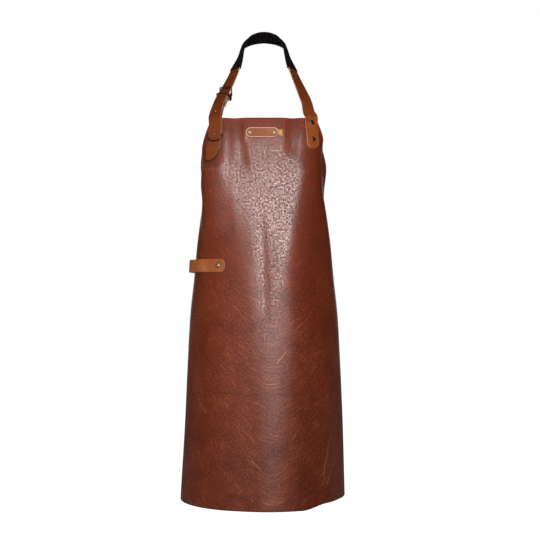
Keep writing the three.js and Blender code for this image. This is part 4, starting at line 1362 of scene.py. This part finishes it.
# All pieces of the apron
dress(apron_panel(BODY), "apron_panel")
dress(neck_strap(TAN), "neck_strap")
dress(buckle_strap(TAN), "buckle_strap")
dress(strap_keeper(KEEPER), "strap_keeper")
dress(towel_loop(LOOP), "towel_loop")
dress(patch(PATCH), "patch")
dress(side_tag(TAG), "side_tag")
dress(neck_pad(), "neck_pad", PAD)
dress(buckle_frame(), "buckle_frame", BRASS)
dress(buckle_prong(), "buckle_prong", BRASS)
dress(keeper_ring(), "keeper_ring", BRASS)

forms = {}
for name, kind, stack, across, down in RIVETS:
    if kind not in forms:
        forms[kind] = rivet("rivet_form", kind, stack)
    only(forms[kind])
    bpy.ops.object.duplicate()
    piece = named(name + "_brass")
    seat_rivet(piece, across, down)
    dress(piece, name, BRASS if name.startswith("strap") else BRIGHT_BRASS)
for form in forms.values():
    only(form)
    bpy.ops.object.delete()

# Studio
floor = primitive("studio_floor", bpy.ops.mesh.primitive_circle_add, vertices=64, radius=14,
                  fill_type="NGON", location=(0, 0, -1.5))
floor.data.materials.append(studio_white())

# Soft lights: name, place, aim, width, height, power, spread in degrees
AT_CHEST = (0, -0.2, -0.28)
LIGHTS = (
    ("front_box_small", (0.05, -4.60, 0.25), AT_CHEST, 0.8, 0.9, 0.5, 29),
    ("front_box_middle", (0.05, -4.62, 0.25), AT_CHEST, 1.3, 1.3, 1.2, 29),
    ("front_box_large", (0.05, -4.64, 0.48), AT_CHEST, 1.9, 1.7, 2.7, 29),
    ("top_box", (-0.15, -3.4, 1.42), (0, -0.2, -0.22), 1.3, 0.9, 2.4, 40),
    ("high_left", (-2.6, -2.2, 1.2), (0, -0.1, -0.5), 2.2, 2.2, 8.5, 180),
    ("left_box", (-2.5, -3.6, 0.1), (-0.1, -0.15, -0.75), 1.8, 1.6, 0.3, 40),
)
scene = bpy.context.scene
for name, place, aim, width, height, power, spread in LIGHTS:
    light = bpy.data.lights.new(name, "AREA")
    light.shape = "RECTANGLE"
    light.size, light.size_y = width, height
    light.energy = power
    light.spread = math.radians(spread)
    lamp = bpy.data.objects.new(name, light)
    scene.collection.objects.link(lamp)
    lamp.location = place
    lamp.rotation_euler = (Vector(aim) - Vector(place)).to_track_quat("-Z", "Y").to_euler()

# The room: dim in front, brighter on the left and overhead, bright behind the apron, and white to the camera
world = bpy.data.worlds.new("studio")
world.use_nodes = True
scene.world = world
room = Nodes(world.node_tree)
way = room.split(room.node("TexCoord").outputs["Generated"])
glow = room.plus(room.ramp(way["X"], -0.9, 0.2, 0.04, 0.0), room.ramp(way["Y"], 0.86, 0.99, 0.0, 0.9))
glow = room.plus(glow, room.ramp(way["Z"], 0.1, 1.0, 0.0, 0.08))
lit = world.node_tree.nodes["Background"]
room.feed(lit.inputs["Color"], (1, 1, 1))
room.feed(lit.inputs["Strength"], glow)
seen = room.node("Background", Color=(1, 1, 1), Strength=1.0)
choose = room.node("MixShader")
room.feed(choose.inputs[0], room.node("LightPath").outputs["Is Camera Ray"])
room.feed(choose.inputs[1], lit.outputs[0])
room.feed(choose.inputs[2], seen.outputs[0])
room.feed(world.node_tree.nodes["World Output"].inputs["Surface"], choose.outputs[0])

# The camera looks level at the apron's front
CAMERA_PLACE = (0.0136, -3.15, -0.534)
CAMERA_SENSOR, CAMERA_LENS, CAMERA_REACH = 36, 90.9, 60
camera = bpy.data.objects.new("camera", bpy.data.cameras.new("camera"))
scene.collection.objects.link(camera)
camera.location = CAMERA_PLACE
camera.rotation_euler = (math.radians(90), 0, 0)
camera.data.sensor_width = CAMERA_SENSOR
camera.data.lens = CAMERA_LENS
camera.data.clip_end = CAMERA_REACH
scene.camera = camera
scene.view_settings.view_transform = "Standard"
scene.view_settings.look = "None"
